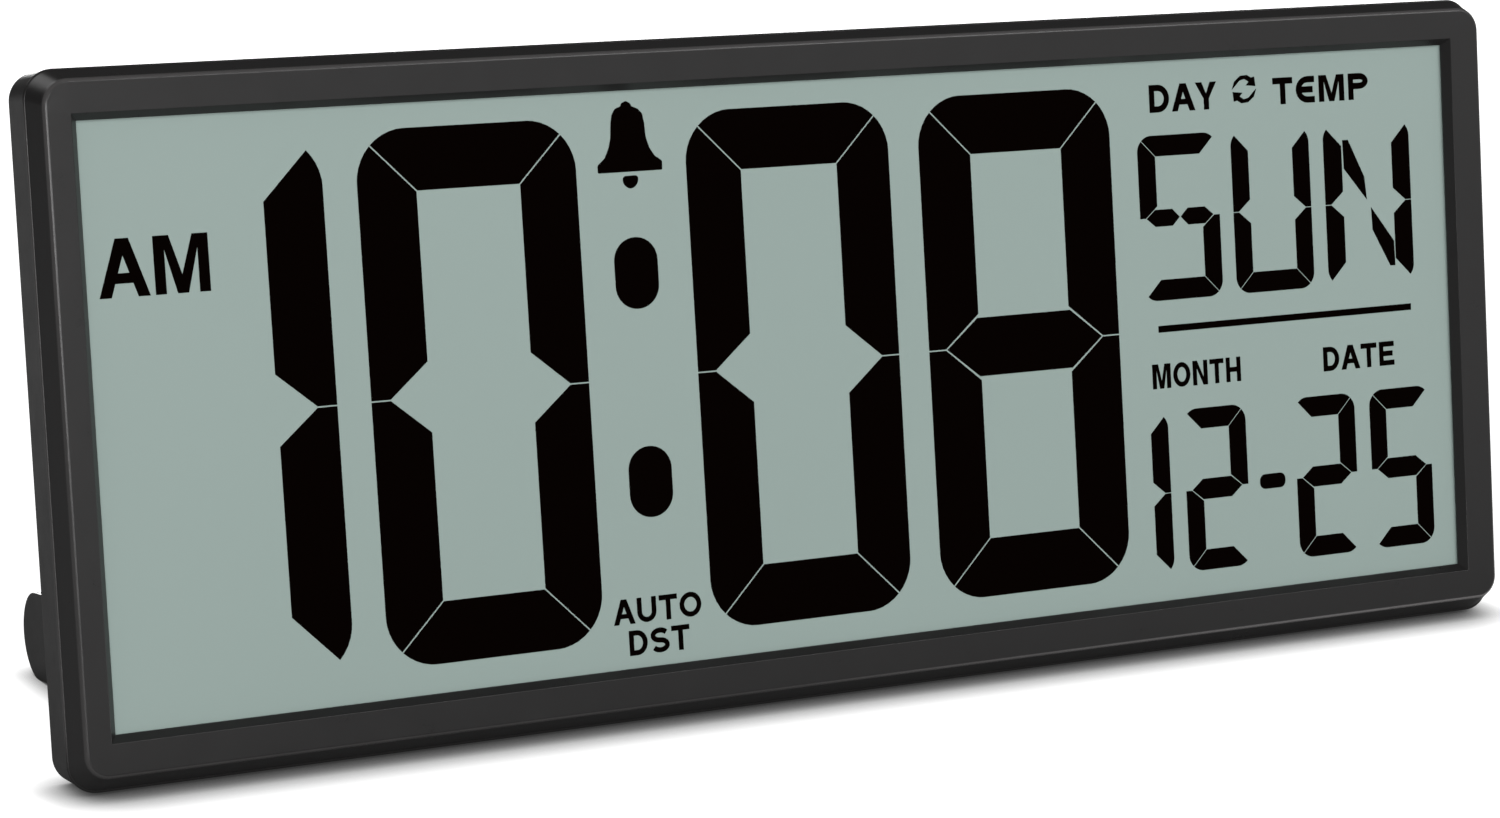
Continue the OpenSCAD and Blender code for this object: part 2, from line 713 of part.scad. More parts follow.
module air_holes() {
    for (i = [0:vents - 1])
        box([sensor_x + (i - (vents - 1) / 2) * vent_pitch - vent_w / 2, rear_y - wall - 1,
             vent_z - vent_l / 2],
            [sensor_x + (i - (vents - 1) / 2) * vent_pitch + vent_w / 2, rear_y + 1,
             vent_z + vent_l / 2]);
    rod(buzzer_x, buzzer_z, 1, hump_inside - 1, hump_y + 1);
    for (ring = [1, 2], k = [0:6 * ring - 1])
        rod(buzzer_x + 4 * ring * cos(60 * k / ring), buzzer_z + 4 * ring * sin(60 * k / ring), 1,
            hump_inside - 1, hump_y + 1);
}

module rear_cover() standing() color(shell_color) {
    difference() {
        union() {
            cover_shell();
            cover_pillars();
            both_sides() leg_housing();
            both_sides() hanger_pocket(1.2);
            bay_box();
            buzzer_seat();
            for (x = [-post_dx, post_dx], z = post_zs)
                rod(controls_x + x, z, post_r, board_back, hump_inside + eps);
        }
        pillar_holes();
        both_sides() leg_recess();
        both_sides() hanger_pocket(0);
        both_sides() hanger_keyhole();
        bay_hollow();
        control_holes();
        air_holes();
    }
    bay_ribs();
}

module casing_screws() standing() color(steel_color)
    for (x = [-outer_screw_x, -inner_screw_x, inner_screw_x, outer_screw_x], z = screw_zs)
        screw(x, z, screw_seat_y, screw_end_y, screw_r, screw_head_r, screw_head_t);

// ---- battery door ----

module battery_door() standing() color(shell_color) difference() {
    union() {
        box([-door_half_w, door_inside, door_bottom + door_gap], [door_half_w, hump_y, door_top]);
        // tabs that reach behind the lower wall
        for (x = [-tab_x, tab_x]) {
            box([x - tab_w / 2, tab_y - tab_t, door_bottom - tab_l],
                [x + tab_w / 2, tab_y, door_bottom + 3]);
            box([x - tab_w / 2, tab_y - eps, door_bottom + door_gap + 0.2],
                [x + tab_w / 2, door_inside + eps, door_bottom + 3]);
        }
        // rib of the latch
        box([-5, hump_y - 1.4, door_top - eps], [5, hump_y - 0.7, door_top + door_gap - 0.06]);
    }
    // slits that free the latch, and its grip
    for (x = [-7, 7])
        box([x - 0.4, door_inside - 1, door_top - 9], [x + 0.4, hump_y + 1, door_top + 1]);
    for (i = [0:2])
        box([-5, hump_y - 0.5, door_top - 3 - 1.8 * i], [5, hump_y + 1, door_top - 2.1 - 1.8 * i]);
}

// ---- cells and contacts ----

// +1 where a cell's contact end is on the right
function cell_side(i) = i % 2 == 0 ? 1 : -1;
function cell_z(i) = cell_z0 + cell_pitch * i;

module battery(i) standing() color([0.3, 0.32, 0.35]) translate([0, cell_y, cell_z(i)]) {
    nub_l = 1;
    nub_x = bay_half_w - contact_t - dimple_t;
    mirror([cell_side(i) > 0 ? 0 : 1, 0, 0]) {
        translate([nub_x - cell_l, 0, 0]) rotate([0, 90, 0]) cylinder(r = cell_d / 2, h = cell_l - nub_l);
        translate([nub_x - nub_l - eps, 0, 0]) rotate([0, 90, 0]) cylinder(r = 2.75, h = nub_l + eps);
    }
}

// Flat spring-steel plate across the ends of the cells first to last
module contact_plate(side, first, last) {
    face = bay_half_w - contact_t;
    mirror([side > 0 ? 0 : 1, 0, 0]) {
        box([face, cell_y - 5, cell_z(first) - 5], [bay_half_w, cell_y + 5, cell_z(last) + 5]);
        for (i = [first:last])
            if (cell_side(i) == side)
                translate([face - dimple_t, cell_y, cell_z(i)])
                    rotate([0, 90, 0]) cylinder(r = 2, h = dimple_t + eps);
    }
}

module battery_contacts() standing() color(steel_color) {
    contact_plate(1, 0, 0);
    contact_plate(1, 1, 2);
    contact_plate(1, 3, 3);
    contact_plate(-1, 0, 1);
    contact_plate(-1, 2, 3);
    for (i = [0, cells - 1])
        box([bay_half_w - contact_t, main_board_back + 0.2, cell_z(i) - 1.5],
            [bay_half_w, cell_y - 4.9, cell_z(i) + 1.5]);
}

module battery_springs() standing() color(steel_color) {
    turns = 3;
    steps = 12;
    for (i = [0:cells - 1]) {
        side = -cell_side(i);
        wall_x = bay_half_w - contact_t - spring_wire_r;
        length = spring_l - 2 * spring_wire_r;
        path = [for (k = [0:turns * steps])
            let (f = k / (turns * steps), a = 360 * k / steps, r = 4.6 - 2 * f)
            [side * (wall_x - length * f), cell_y + r * cos(a), cell_z(i) + side * r * sin(a)]];
        tube(path, spring_wire_r, [1, 0, 0], 6);
    }
}

// Routes of the wires, from the solder tab or disc to the main board
wire_r = 0.6;
wire_y = main_board_back + wire_r;
tab_wire_x = bay_half_w - contact_t / 2;
power_route_low = [
    [tab_wire_x, wire_y, cell_z(0) - 1.5], [tab_wire_x, wire_y, cell_z(0) - 4],
    [28, wire_y, cell_z(0) - 8], [27, wire_y, cell_z(0) - 12],
    [26, wire_y, cell_z(0) - 16], [26, wire_y, cell_z(0) - 20]
];
power_route_high = [
    [tab_wire_x, wire_y, cell_z(3) - 1.5], [tab_wire_x, wire_y, cell_z(3) - 4],
    [30, wire_y, cell_z(3) - 8], [33, wire_y, cell_z(3) - 13], [34, wire_y, cell_z(3) - 20],
    [34, wire_y, cell_z(3) - 35], [34, wire_y, cell_z(0) - 6], [34, wire_y, cell_z(0) - 20]
];

module power_wires() standing() color([0.6, 0.1, 0.1]) {
    tube(power_route_low, wire_r, [0, 1, 0]);
    tube(power_route_high, wire_r, [0, 1, 0]);
}

// ---- controls ----

module button_board() standing() color(board_color) difference() {
    box([controls_x - board_w / 2, board_front, board_bottom],
        [controls_x + board_w / 2, board_back, board_top]);
    for (x = [-post_dx, post_dx], z = post_zs)
        rod(controls_x + x, z, small_screw_r + 0.2, board_front - 1, board_back + 1);
}

module button_board_screws() standing() color(steel_color)
    for (x = [-post_dx, post_dx], z = post_zs) {
        rod(controls_x + x, z, small_screw_r, board_front, board_back + 4.5);
        rod(controls_x + x, z, 1.8, board_front - 1.3, board_front);
    }

module tact_switch(i) standing() color([0.12, 0.12, 0.12]) difference() {
    z = button_z0 - button_pitch * i;
    box([controls_x - tact_size / 2, board_back, z - tact_size / 2],
        [controls_x + tact_size / 2, board_back + tact_t, z + tact_size / 2]);
    rod(controls_x, z, plunger_r + plunger_gap, plunger_front - button_travel - 0.1,
        board_back + tact_t + 1);
}

module plunger(i) standing() color([0.7, 0.68, 0.6])
    rod(controls_x, button_z0 - button_pitch * i, plunger_r, plunger_front, plunger_back);

module push_button(i) standing() color([0.16, 0.16, 0.16]) {
    z = button_z0 - button_pitch * i;
    pill(controls_x, z, button_w, button_h, flange_y, hump_y + button_proud);
    pill(controls_x, z, button_w + 2.4, button_h + 2.4, flange_y, flange_y + flange_t);
    rod(controls_x, z, 2, plunger_back, flange_y + eps);
}

module slide_switch() standing() color(steel_color) difference() {
    box([controls_x - 2.2, board_back, switch_z - 4.75],
        [controls_x + 2.2, board_back + 3.6, switch_z + 4.75]);
    box([controls_x - stem_w / 2 - 0.1, board_back + 2, switch_z - (switch_travel + stem_w) / 2 - 0.15],
        [controls_x + stem_w / 2 + 0.1, board_back + 5, switch_z + (switch_travel + stem_w) / 2 + 0.15]);
}

module dst_switch_knob() standing() color([0.16, 0.16, 0.16]) {
    cap_y = hump_y - 0.3;
    cover_l = knob_l / 2 + switch_travel + button_gap + 0.5;
    box([controls_x - stem_w / 2, board_back + 2.2, knob_seat - stem_w / 2],
        [controls_x + stem_w / 2, flange_y + eps, knob_seat + stem_w / 2]);
    box([controls_x - 3.6, flange_y, knob_seat - cover_l],
        [controls_x + 3.6, flange_y + flange_t, knob_seat + cover_l]);
    difference() {
        box([controls_x - knob_w / 2, flange_y, knob_seat - knob_l / 2],
            [controls_x + knob_w / 2, cap_y, knob_seat + knob_l / 2]);
        for (i = [-1.5:1:1.5])
            box([controls_x - 3, cap_y - 0.4, knob_seat + 1.1 * i - 0.25],
                [controls_x + 3, cap_y + 1, knob_seat + 1.1 * i + 0.25]);
    }
}

// Flat cable that curves from the button board down to the main board
module ribbon_cable() standing() color([0.75, 0.75, 0.78]) {
    ribbon_t = 0.5;
    ribbon_w = 10;
    steps = 20;
    y_top = board_front - ribbon_t / 2;
    y_low = main_board_back + ribbon_t / 2;
    z_top = board_bottom + 6;
    drop = z_top - main_board_top + 5;
    middle = [for (i = [0:steps]) let (f = i / steps)
        [(y_top + y_low) / 2 + (y_top - y_low) / 2 * cos(180 * f), z_top - drop * f]];
    across = [for (i = [0:steps])
        let (d = unit(middle[min(i + 1, steps)] - middle[max(i - 1, 0)])) [-d[1], d[0]]];
    outline = concat([for (i = [0:steps]) middle[i] + ribbon_t / 2 * across[i]],
                     [for (i = [steps:-1:0]) middle[i] - ribbon_t / 2 * across[i]]);
    translate([controls_x - ribbon_w / 2, 0, 0]) rotate([90, 0, 90])
        linear_extrude(ribbon_w) polygon(outline);
}

// ---- sounder ----

module buzzer_disc() standing() color(brass_color)
    rod(buzzer_x, buzzer_z, buzzer_r, buzzer_y - disc_t, buzzer_y);

module buzzer_ceramic() standing() color([0.9, 0.9, 0.86])
    rod(buzzer_x, buzzer_z, buzzer_r - 3.5, buzzer_y - disc_t - ceramic_t, buzzer_y - disc_t);

buzzer_back = buzzer_y - disc_t - ceramic_t;
buzzer_route = [
    [-66, buzzer_back - 0.5, buzzer_z - 4], [-66, buzzer_back - 0.7, buzzer_z - 7],
    [-65, buzzer_back - 2, buzzer_z - 12], [-63, buzzer_back - 5, buzzer_z - 20],
    [-61, 12, buzzer_z - 28], [-60, 9, buzzer_z - 34],
    [-60, main_board_back + 0.7, main_board_top - 1], [-60, main_board_back + 0.5, main_board_top - 5]
];

module buzzer_wires() standing() color([0.1, 0.1, 0.1])
    for (dx = [0, 2.5])
        tube([for (p = buzzer_route) p + [dx, 0, 0]], 0.5, [1, 0, 0]);

// ---- legs ----

module leg() {
    difference() {
        union() {
            box([-pin_x - leg_t / 2, pin_y, leg_z - leg_h / 2],
                [-pin_x + leg_t / 2, leg_end_y, leg_z + leg_h / 2]);
            translate([-pin_x, pin_y, leg_z - leg_h / 2]) cylinder(r = leg_t / 2, h = leg_h);
            translate([-pin_x - leg_t / 2, leg_end_y, leg_z]) rotate([0, 90, 0])
                cylinder(r = leg_end_r, h = leg_t, $fn = 96);
        }
        translate([-pin_x, pin_y, leg_z - leg_h / 2 - 1]) cylinder(r = pin_r + pin_gap, h = leg_h + 2);
    }
}

module leg_left() standing() color(shell_color) leg();

module leg_right() standing() color(shell_color) mirror([1, 0, 0]) leg();

module leg_pin(side) standing() color(steel_color)
    translate([side * pin_x, pin_y, leg_z - recess_half - recess_wall - pin_boss_l])
        cylinder(r = pin_r, h = 2 * (recess_half + recess_wall + pin_boss_l));

// ---- assembly ----

front_frame();
lcd_gasket();
front_polariser();
front_glass();
rear_glass();
rear_reflector();
zebra_strip(-1);  // zebra_strip_left
zebra_strip(1);  // zebra_strip_right
lcd_holder();
holder_screws();
main_board();
board_to_holder_screws();
driver_chip();
clock_crystal();
capacitor(0);  // capacitor_1
capacitor(1);  // capacitor_2
chip_resistors();
temperature_sensor();
rear_cover();
casing_screws();
battery_door();
battery(0);  // battery_1
battery(1);  // battery_2
battery(2);  // battery_3
battery(3);  // battery_4
battery_contacts();
battery_springs();
power_wires();
button_board();
button_board_screws();
tact_switch(0);  // tact_switch_1
tact_switch(1);  // tact_switch_2
tact_switch(2);  // tact_switch_3
tact_switch(3);  // tact_switch_4
tact_switch(4);  // tact_switch_5
plunger(0);  // plunger_1
plunger(1);  // plunger_2
plunger(2);  // plunger_3
plunger(3);  // plunger_4
plunger(4);  // plunger_5
push_button(0);  // button_mode
push_button(1);  // button_up
push_button(2);  // button_down
push_button(3);  // button_alarm
push_button(4);  // button_temperature
slide_switch();
dst_switch_knob();
ribbon_cable();
buzzer_disc();
buzzer_ceramic();
buzzer_wires();
leg_left();
leg_right();
leg_pin(-1);  // leg_pin_left
leg_pin(1);  // leg_pin_right
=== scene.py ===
import json
import math

import bmesh
import bpy
from mathutils import Matrix, Vector

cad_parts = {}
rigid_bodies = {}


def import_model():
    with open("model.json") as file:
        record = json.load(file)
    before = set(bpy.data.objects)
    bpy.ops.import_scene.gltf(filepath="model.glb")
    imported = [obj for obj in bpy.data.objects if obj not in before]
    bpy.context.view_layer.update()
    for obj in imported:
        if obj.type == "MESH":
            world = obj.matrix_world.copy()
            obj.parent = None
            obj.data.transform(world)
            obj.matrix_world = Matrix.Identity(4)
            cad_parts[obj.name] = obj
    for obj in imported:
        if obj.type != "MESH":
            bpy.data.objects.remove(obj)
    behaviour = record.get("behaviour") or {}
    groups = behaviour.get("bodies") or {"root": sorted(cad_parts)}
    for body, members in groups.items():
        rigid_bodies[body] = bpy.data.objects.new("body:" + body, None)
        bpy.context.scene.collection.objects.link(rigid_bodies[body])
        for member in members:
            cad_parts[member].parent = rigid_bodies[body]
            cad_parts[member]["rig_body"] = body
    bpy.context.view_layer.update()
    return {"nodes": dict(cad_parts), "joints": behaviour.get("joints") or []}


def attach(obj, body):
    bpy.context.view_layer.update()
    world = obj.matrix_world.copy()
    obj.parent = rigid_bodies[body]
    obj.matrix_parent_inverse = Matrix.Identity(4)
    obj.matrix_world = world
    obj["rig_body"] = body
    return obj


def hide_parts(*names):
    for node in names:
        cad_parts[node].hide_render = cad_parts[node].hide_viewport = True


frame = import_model()

bl_info = {
    "name": "Large digit day clock",
    "version": (1, 0, 0),
    "blender": (4, 5, 0),
    "location": "View3D > Sidebar > Day clock",
    "description": "Finishes the packed day clock: bezel, display, controls, legs and studio",
    "category": "Object",
}

MM = 0.001
HINGE = next(j for j in frame["joints"] if j["name"] == "leg_left_hinge")
PIN = Vector((-155.0, 13.8, -54.0))
LEAN = math.atan2(HINGE["axis"][1], HINGE["axis"][2])
# Casing axes, in millimetres, to the frame's metres
STAND = (Matrix.Translation(Vector(HINGE["pos_m"])) @ Matrix.Rotation(-LEAN, 4, "X")
         @ Matrix.Scale(MM, 4) @ Matrix.Translation(-PIN))
CASING = "casing"

# ---- sizes in casing millimetres: x across, y back and z up from the middle of the film's face ----

WINDOW_W, WINDOW_H, WINDOW_DX = 338.8, 125.0, -1.3
OUT_W, OUT_H, CORNER_R = 360.0, 146.4, 6.5
SEAM_Y, FACE_Y, FILM_Y = 4.1, -2.65, 0.0
# The shoulder's width, and how much wider it is along the bottom
SHOULDER_W, CHIN_MORE = 2.1, 1.55
# Rounded lip at the seam, then the shoulder's foot (inward, depth) and crest, and the ridge's radius
LIP_W, LIP_DEPTH, LIP_Y = 0.36, 0.46, 4.0
FOOT, CREST_IN, RIDGE_R = (0.37, 3.4), 2.33, 0.95
# How much more the ridge's corners are rounded than the outline's, at the top and at the bottom
RIDGE_R_MORE = (1.2, 0.8)
# The frame's wall, its thin edge at the window, the inside's depth there, and the edge's rounding
FRAME_WALL, EDGE_WALL, INSIDE_Y, EDGE_R = 2.2, 0.35, -0.4, 0.08
# The rear cover's step in from the outline, its draft, the draft's end, and the slack in its wall
COVER_INSET, COVER_DRAFT, DRAFT_END_Y, WALL_SLACK = 0.6, 0.4, 15.2, 0.05
HUMP_Y = 26.5
# Ends of the cells' sleeves and of the pale band on them, and of the ribbon cable's red edge
SLEEVE_END_X, BAND_X, RED_EDGE_X = 24.6, (15.5, 17.2), 66.0
BUTTONS = ("mode", "up", "down", "alarm", "temperature")
BUTTON_TOP_Z, BUTTON_PITCH = 38.0, 13.0
SWITCH_Z = BUTTON_TOP_Z - BUTTON_PITCH * len(BUTTONS) - 1.25
INK_HEIGHT, MARK_HEIGHT, GRIP_HEIGHT = 0.03, 0.04, 0.08
HARD_EDGE, NEAR = math.radians(50), 1e-4
# Grain and clouding of moulded plastic, and how much paler the bezel's painted highlights are: along its
# ridge, along its bottom ridge at the right, and along the lip at the seam
GRAIN_MM, CLOUD_MM, HANDLED_MM = 0.16, 38, 9
PAINTED_RIDGE_HIGHLIGHT, PAINTED_LOW_RIDGE_HIGHLIGHT, PAINTED_LIP_HIGHLIGHT = 3.9, 11, 3.6
BLACK, WHITE = (0, 0, 0, 1), (1, 1, 1, 1)


# ---- shader building ----

def pair(operation):
    """An operator of Value and its reflected form."""
    return (lambda value, other: value.join(value, other, operation),
            lambda value, other: value.join(other, value, operation))


class Value:
    """A node's output that takes part in sums."""

    def __init__(self, tree, out):
        self.tree = tree
        self.out = out

    def join(self, left, right, operation):
        """A Math node on two values or numbers."""
        node = self.tree.nodes.new("ShaderNodeMath")
        node.operation = operation
        for place, value in zip(node.inputs, (left, right)):
            set_socket(self.tree, place, value)
        return Value(self.tree, node.outputs[0])

    __add__, __radd__ = pair("ADD")
    __sub__, __rsub__ = pair("SUBTRACT")
    __mul__, __rmul__ = pair("MULTIPLY")
    __truediv__, __rtruediv__ = pair("DIVIDE")
    __pow__, __rpow__ = pair("POWER")
    __gt__ = pair("GREATER_THAN")[0]
    __lt__ = pair("LESS_THAN")[0]


def set_socket(tree, place, value):
    """Links a value to a socket, or sets the socket to a plain number or colour."""
    if isinstance(value, Value):
        tree.links.new(value.out, place)
    else:
        place.default_value = value


def rgba(color):
    """Four parts of a colour, unless it is already a link."""
    if isinstance(color, Value):
        return color
    return (*color[:3], 1.0)


def times(color, share):
    """A colour made darker or paler by a share."""
    return [min(1.0, c * share) for c in color]


def swing(noise, span):
    """A noise as a change about zero."""
    return (noise - 0.5) * span


class Nodes:
    """The nodes of a material or the world, built afresh."""

    def __init__(self, owner, end):
        owner.use_nodes = True
        self.tree = owner.node_tree
        self.tree.nodes.clear()
        self.end = self.tree.nodes.new(end).inputs["Surface"]

    def node(self, kind, settings=None, sockets=None, out=0):
        """Makes a shader node of a kind: its settings first, then its sockets' values or links."""
        node = self.tree.nodes.new("ShaderNode" + kind)
        for key, value in (settings or {}).items():
            setattr(node, key, value)
        for key, value in (sockets or {}).items():
            set_socket(self.tree, node.inputs[key], value)
        return Value(self.tree, node.outputs[out])

    def end_in(self, shader):
        """Ends the tree in one shader."""
        set_socket(self.tree, self.end, shader)

    def rays(self):
        """Which rays leave the lens, a glossy surface and a clear piece."""
        return [self.node("LightPath", out="Is %s Ray" % kind)
                for kind in ("Camera", "Glossy", "Transmission")]

    def split(self, vector):
        """The three parts of a vector."""
        split = self.tree.nodes.new("ShaderNodeSeparateXYZ")
        set_socket(self.tree, split.inputs[0], vector)
        return [Value(self.tree, part) for part in split.outputs]

    def blend(self, factor, low, high):
        """Colour mixed by a factor."""
        return self.node("Mix", {"data_type": "RGBA"},
                         {0: factor, 6: rgba(low), 7: rgba(high)}, out=2)

    def shades(self, factor, color, low, high):
        """Colour mixed between two shares of one colour."""
        return self.blend(factor, times(color, low), times(color, high))

    def ramp(self, value, start, run):
        """Rises from 0 at the start to 1 one run further on; a run below zero goes the other way."""
        return self.node("Clamp", sockets={"Value": (value - start) / run})

    def size_of(self, value):
        """A value without its sign."""
        return self.node("Math", {"operation": "ABSOLUTE"}, {0: value})


class Finish(Nodes):
    """One material with its nodes."""

    def __init__(self, name):
        self.material = bpy.data.materials.new(name)
        super().__init__(self.material, "ShaderNodeOutputMaterial")
        self.place = self.node("TexCoord", out="Object")

    def noise(self, size_mm, detail, rough=0.5, stretch=(1, 1, 1)):
        """Noise whose grains are about size_mm across."""
        scaled = self.node("Mapping", sockets={"Vector": self.place, "Scale": stretch})
        return self.node("TexNoise", sockets={
            "Vector": scaled, "Scale": 1 / (size_mm * MM), "Detail": detail, "Roughness": rough})

    def moulded(self, color, spread, grain_mm):
        """Tone, fine grain and handled patches of moulded plastic."""
        cloud, handled = self.noise(CLOUD_MM, 3), self.noise(HANDLED_MM, 4, 0.62)
        tone = self.shades(cloud * 0.7 + handled * 0.3, color, 1 - spread, 1 + spread)
        return tone, self.noise(grain_mm, 2, 0.6), handled

    def axes(self):
        """The three coordinates in casing millimetres: across, back and up."""
        turned = self.node("Mapping", {"vector_type": "TEXTURE"}, {
            "Vector": self.place, "Location": tuple(STAND.translation),
            "Rotation": (-LEAN, 0, 0), "Scale": (MM, MM, MM)})
        return self.split(turned)

    def bump(self, height, depth_mm):
        """Relief as deep as depth_mm."""
        return self.node("Bump", sockets={"Height": height, "Distance": depth_mm * MM})

    def close(self, **sockets):
        """Ends the material in one principled shader."""
        self.end_in(self.node("BsdfPrincipled", sockets={
            key.replace("_", " "): value for key, value in sockets.items()}))
        return self.material


def grained_plastic(name, color, rough, grain_mm=GRAIN_MM, relief_mm=0.012, ior_level=0.5):
    """Moulded plastic with a spark-eroded grain and faint clouding."""
    f = Finish(name)
    tone, fine, handled = f.moulded(color, 0.12, grain_mm)
    return f.close(
        Base_Color=tone, Roughness=rough + swing(handled, 0.16) + swing(fine, 0.05),
        Normal=f.bump(fine, relief_mm), Specular_IOR_Level=ior_level)


def bezel_plastic(name, color, rough):
    """Grained plastic, smoother along the front ridge, with painted highlights: paler along the ridge and
    more so towards the top, paler along the bottom ridge towards the right, and paler along the lip at the
    seam.
    """
    f = Finish(name)
    x, y, z = f.axes()
    tone, fine, handled = f.moulded(color, 0.07, GRAIN_MM)
    # past the window and its chamfer
    outside = f.node("Math", {"operation": "MAXIMUM"}, {
        0: f.size_of(x) > WINDOW_W / 2 + 5, 1: f.size_of(z) > WINDOW_H / 2 + 4})
    # painted highlight along the rounded ridge behind the flat face, past the window; the same band is also
    # made smoother
    crest = f.ramp(y, FACE_Y + 0.005, 0.08) * f.ramp(y, FACE_Y + 0.9, -0.3) * outside
    # painted highlight along the bottom ridge, growing towards the right
    low = crest * f.ramp(z, -40, -20) * f.ramp(x, -20, 150)
    # painted highlight along the lip at the seam, fading out near the top and the bottom
    lip = f.ramp(y, FOOT[1] + 0.02, 0.05) * f.ramp(f.size_of(z), 69, -8)
    # each painted highlight mixes the tone towards a paler share of the casing colour; the ridge's is
    # stronger towards the top and varies with the handled noise
    for highlight_share, paler in ((crest * (0.5 + handled * 0.35 + f.ramp(z, 0, 60) * 0.35), PAINTED_RIDGE_HIGHLIGHT),
                          (low * (0.7 + handled * 0.3), PAINTED_LOW_RIDGE_HIGHLIGHT),
                          (lip * (0.75 + handled * 0.5), PAINTED_LIP_HIGHLIGHT)):
        tone = f.blend(highlight_share, tone, times(color, paler))
    return f.close(
        Base_Color=tone, Roughness=rough + swing(handled, 0.12) + swing(fine, 0.05) - crest * 0.12,
        Normal=f.bump(fine, 0.01), Specular_IOR_Level=0.3)


def lacquered_plastic(name, color, rough):
    """Smooth plastic with faint waviness from the mould."""
    f = Finish(name)
    wave = f.noise(14, 2)
    dust = f.noise(0.9, 4, 0.7)
    return f.close(Base_Color=f.shades(wave, color, 0.9, 1.12), Roughness=rough + swing(dust, 0.1),
                   Normal=f.bump(wave + dust * 0.02, 0.02), Specular_IOR_Level=0.5)


def rolled_metal(name, color, rough, stretch=(1, 1, 12), scale_mm=0.5):
    """Rolled or drawn metal with fine lines along one way."""
    f = Finish(name)
    lines = f.noise(scale_mm, 4, 0.65, stretch)
    stain = f.noise(7, 3)
    return f.close(Base_Color=f.shades(stain, color, 0.86, 1.06), Metallic=1.0,
                   Roughness=rough + swing(lines, 0.22) + swing(stain, 0.1),
                   Normal=f.bump(lines, 0.004))


def display_film(name, color):
    """Satin polariser film with the reflector's soft speckle behind it."""
    f = Finish(name)
    speckle = f.noise(0.22, 3, 0.7)
    tone = f.shades(f.noise(90, 2) * 0.6 + speckle * 0.4, color, 0.965, 1.035)
    return f.close(Base_Color=tone, Roughness=0.5 + swing(speckle, 0.08),
                   Normal=f.bump(speckle, 0.002), Specular_IOR_Level=0.25)


def segment_ink(name):
    """A switched-on segment: near black, with the film's own sheen."""
    f = Finish(name)
    speckle = f.noise(0.22, 3, 0.7)
    tone = f.blend(speckle, (0.0014, 0.0006, 0.0004), (0.0026, 0.0012, 0.0009))
    return f.close(Base_Color=tone, Roughness=0.6 + swing(speckle, 0.08), Specular_IOR_Level=0.0)


def glass_sheet(name, color):
    """Clear glass with faint smears."""
    f = Finish(name)
    smear = f.noise(25, 3)
    return f.close(Base_Color=f.shades(smear, color, 0.97, 1), Roughness=0.02 + smear * 0.02,
                   Transmission_Weight=1.0, IOR=1.52)


def foam_rubber(name, color, cell_mm):
    """Foam with open cells."""
    f = Finish(name)
    cells = f.node("TexVoronoi", sockets={"Vector": f.place, "Scale": 1 / (cell_mm * MM)})
    cloud = f.noise(3, 3)
    # darker in each cell's hollow, where the bump sinks it, and paler at the cell walls: painted shade
    return f.close(Base_Color=f.shades(cells * 0.8 + cloud * 0.2, color, 0.6, 1.5),
                   Roughness=0.86 + swing(cloud, 0.1), Normal=f.bump(cells, 0.05),
                   Specular_IOR_Level=0.3)


def layered_rubber(name):
    """Contact strip of dark and pale layers, a quarter of a millimetre each."""
    f = Finish(name)
    x, _, _ = f.axes()
    layer = f.node("Math", {"operation": "PINGPONG"}, {0: x, 1: 0.25}) > 0.125
    cloud = f.noise(1.5, 3)
    tone = f.blend(layer * 0.9 + cloud * 0.1, (0.02, 0.02, 0.022), (0.42, 0.4, 0.4))
    return f.close(Base_Color=tone, Roughness=0.7 + swing(cloud, 0.1), Normal=f.bump(cloud, 0.01))


def circuit_board(name, color):
    """Solder mask over copper tracks that run in steps, with round pads."""
    f = Finish(name)
    x, _, z = f.axes()
    flat = f.node("CombineXYZ", sockets={0: x, 1: z})
    tracks = f.node("TexBrick", {"offset": 0.37, "squash": 2.6, "squash_frequency": 3}, {
        "Vector": flat, "Color1": BLACK, "Color2": BLACK, "Mortar": WHITE, "Scale": 0.19,
        "Mortar Size": 0.055, "Mortar Smooth": 0.1, "Bias": 0.0, "Brick Width": 1.1, "Row Height": 0.3})
    bright = f.node("RGBToBW", sockets={0: tracks})
    spots = f.node("TexVoronoi", {"voronoi_dimensions": "2D"}, {
        "Vector": flat, "Scale": 0.16, "Randomness": 0.75}) < 0.11
    cloud = f.noise(12, 3)
    mask = f.shades(bright * 0.8 + cloud * 0.2, color, 0.75, 2.1)
    return f.close(Base_Color=f.blend(spots, mask, (0.62, 0.6, 0.52)), Metallic=spots * 0.9,
                   Roughness=0.32 + swing(cloud, 0.1), Normal=f.bump(bright + spots, 0.03))


def ribbon_strands(name):
    """Grey flat cable of parallel strands with one coloured edge."""
    f = Finish(name)
    x, _, _ = f.axes()
    strand = f.node("Math", {"operation": "PINGPONG"}, {0: x, 1: 0.5})
    cloud = f.noise(4, 3)
    # darker in the groove between strands and paler on each strand's crest, as the bump shapes them: painted
    # shade
    grey = f.blend(strand * 1.6 + cloud * 0.1, (0.28, 0.28, 0.3), (0.62, 0.62, 0.64))
    return f.close(Base_Color=f.blend(x < RED_EDGE_X, grey, (0.45, 0.05, 0.04)),
                   Roughness=0.42 + swing(cloud, 0.1), Normal=f.bump(strand, 0.25))


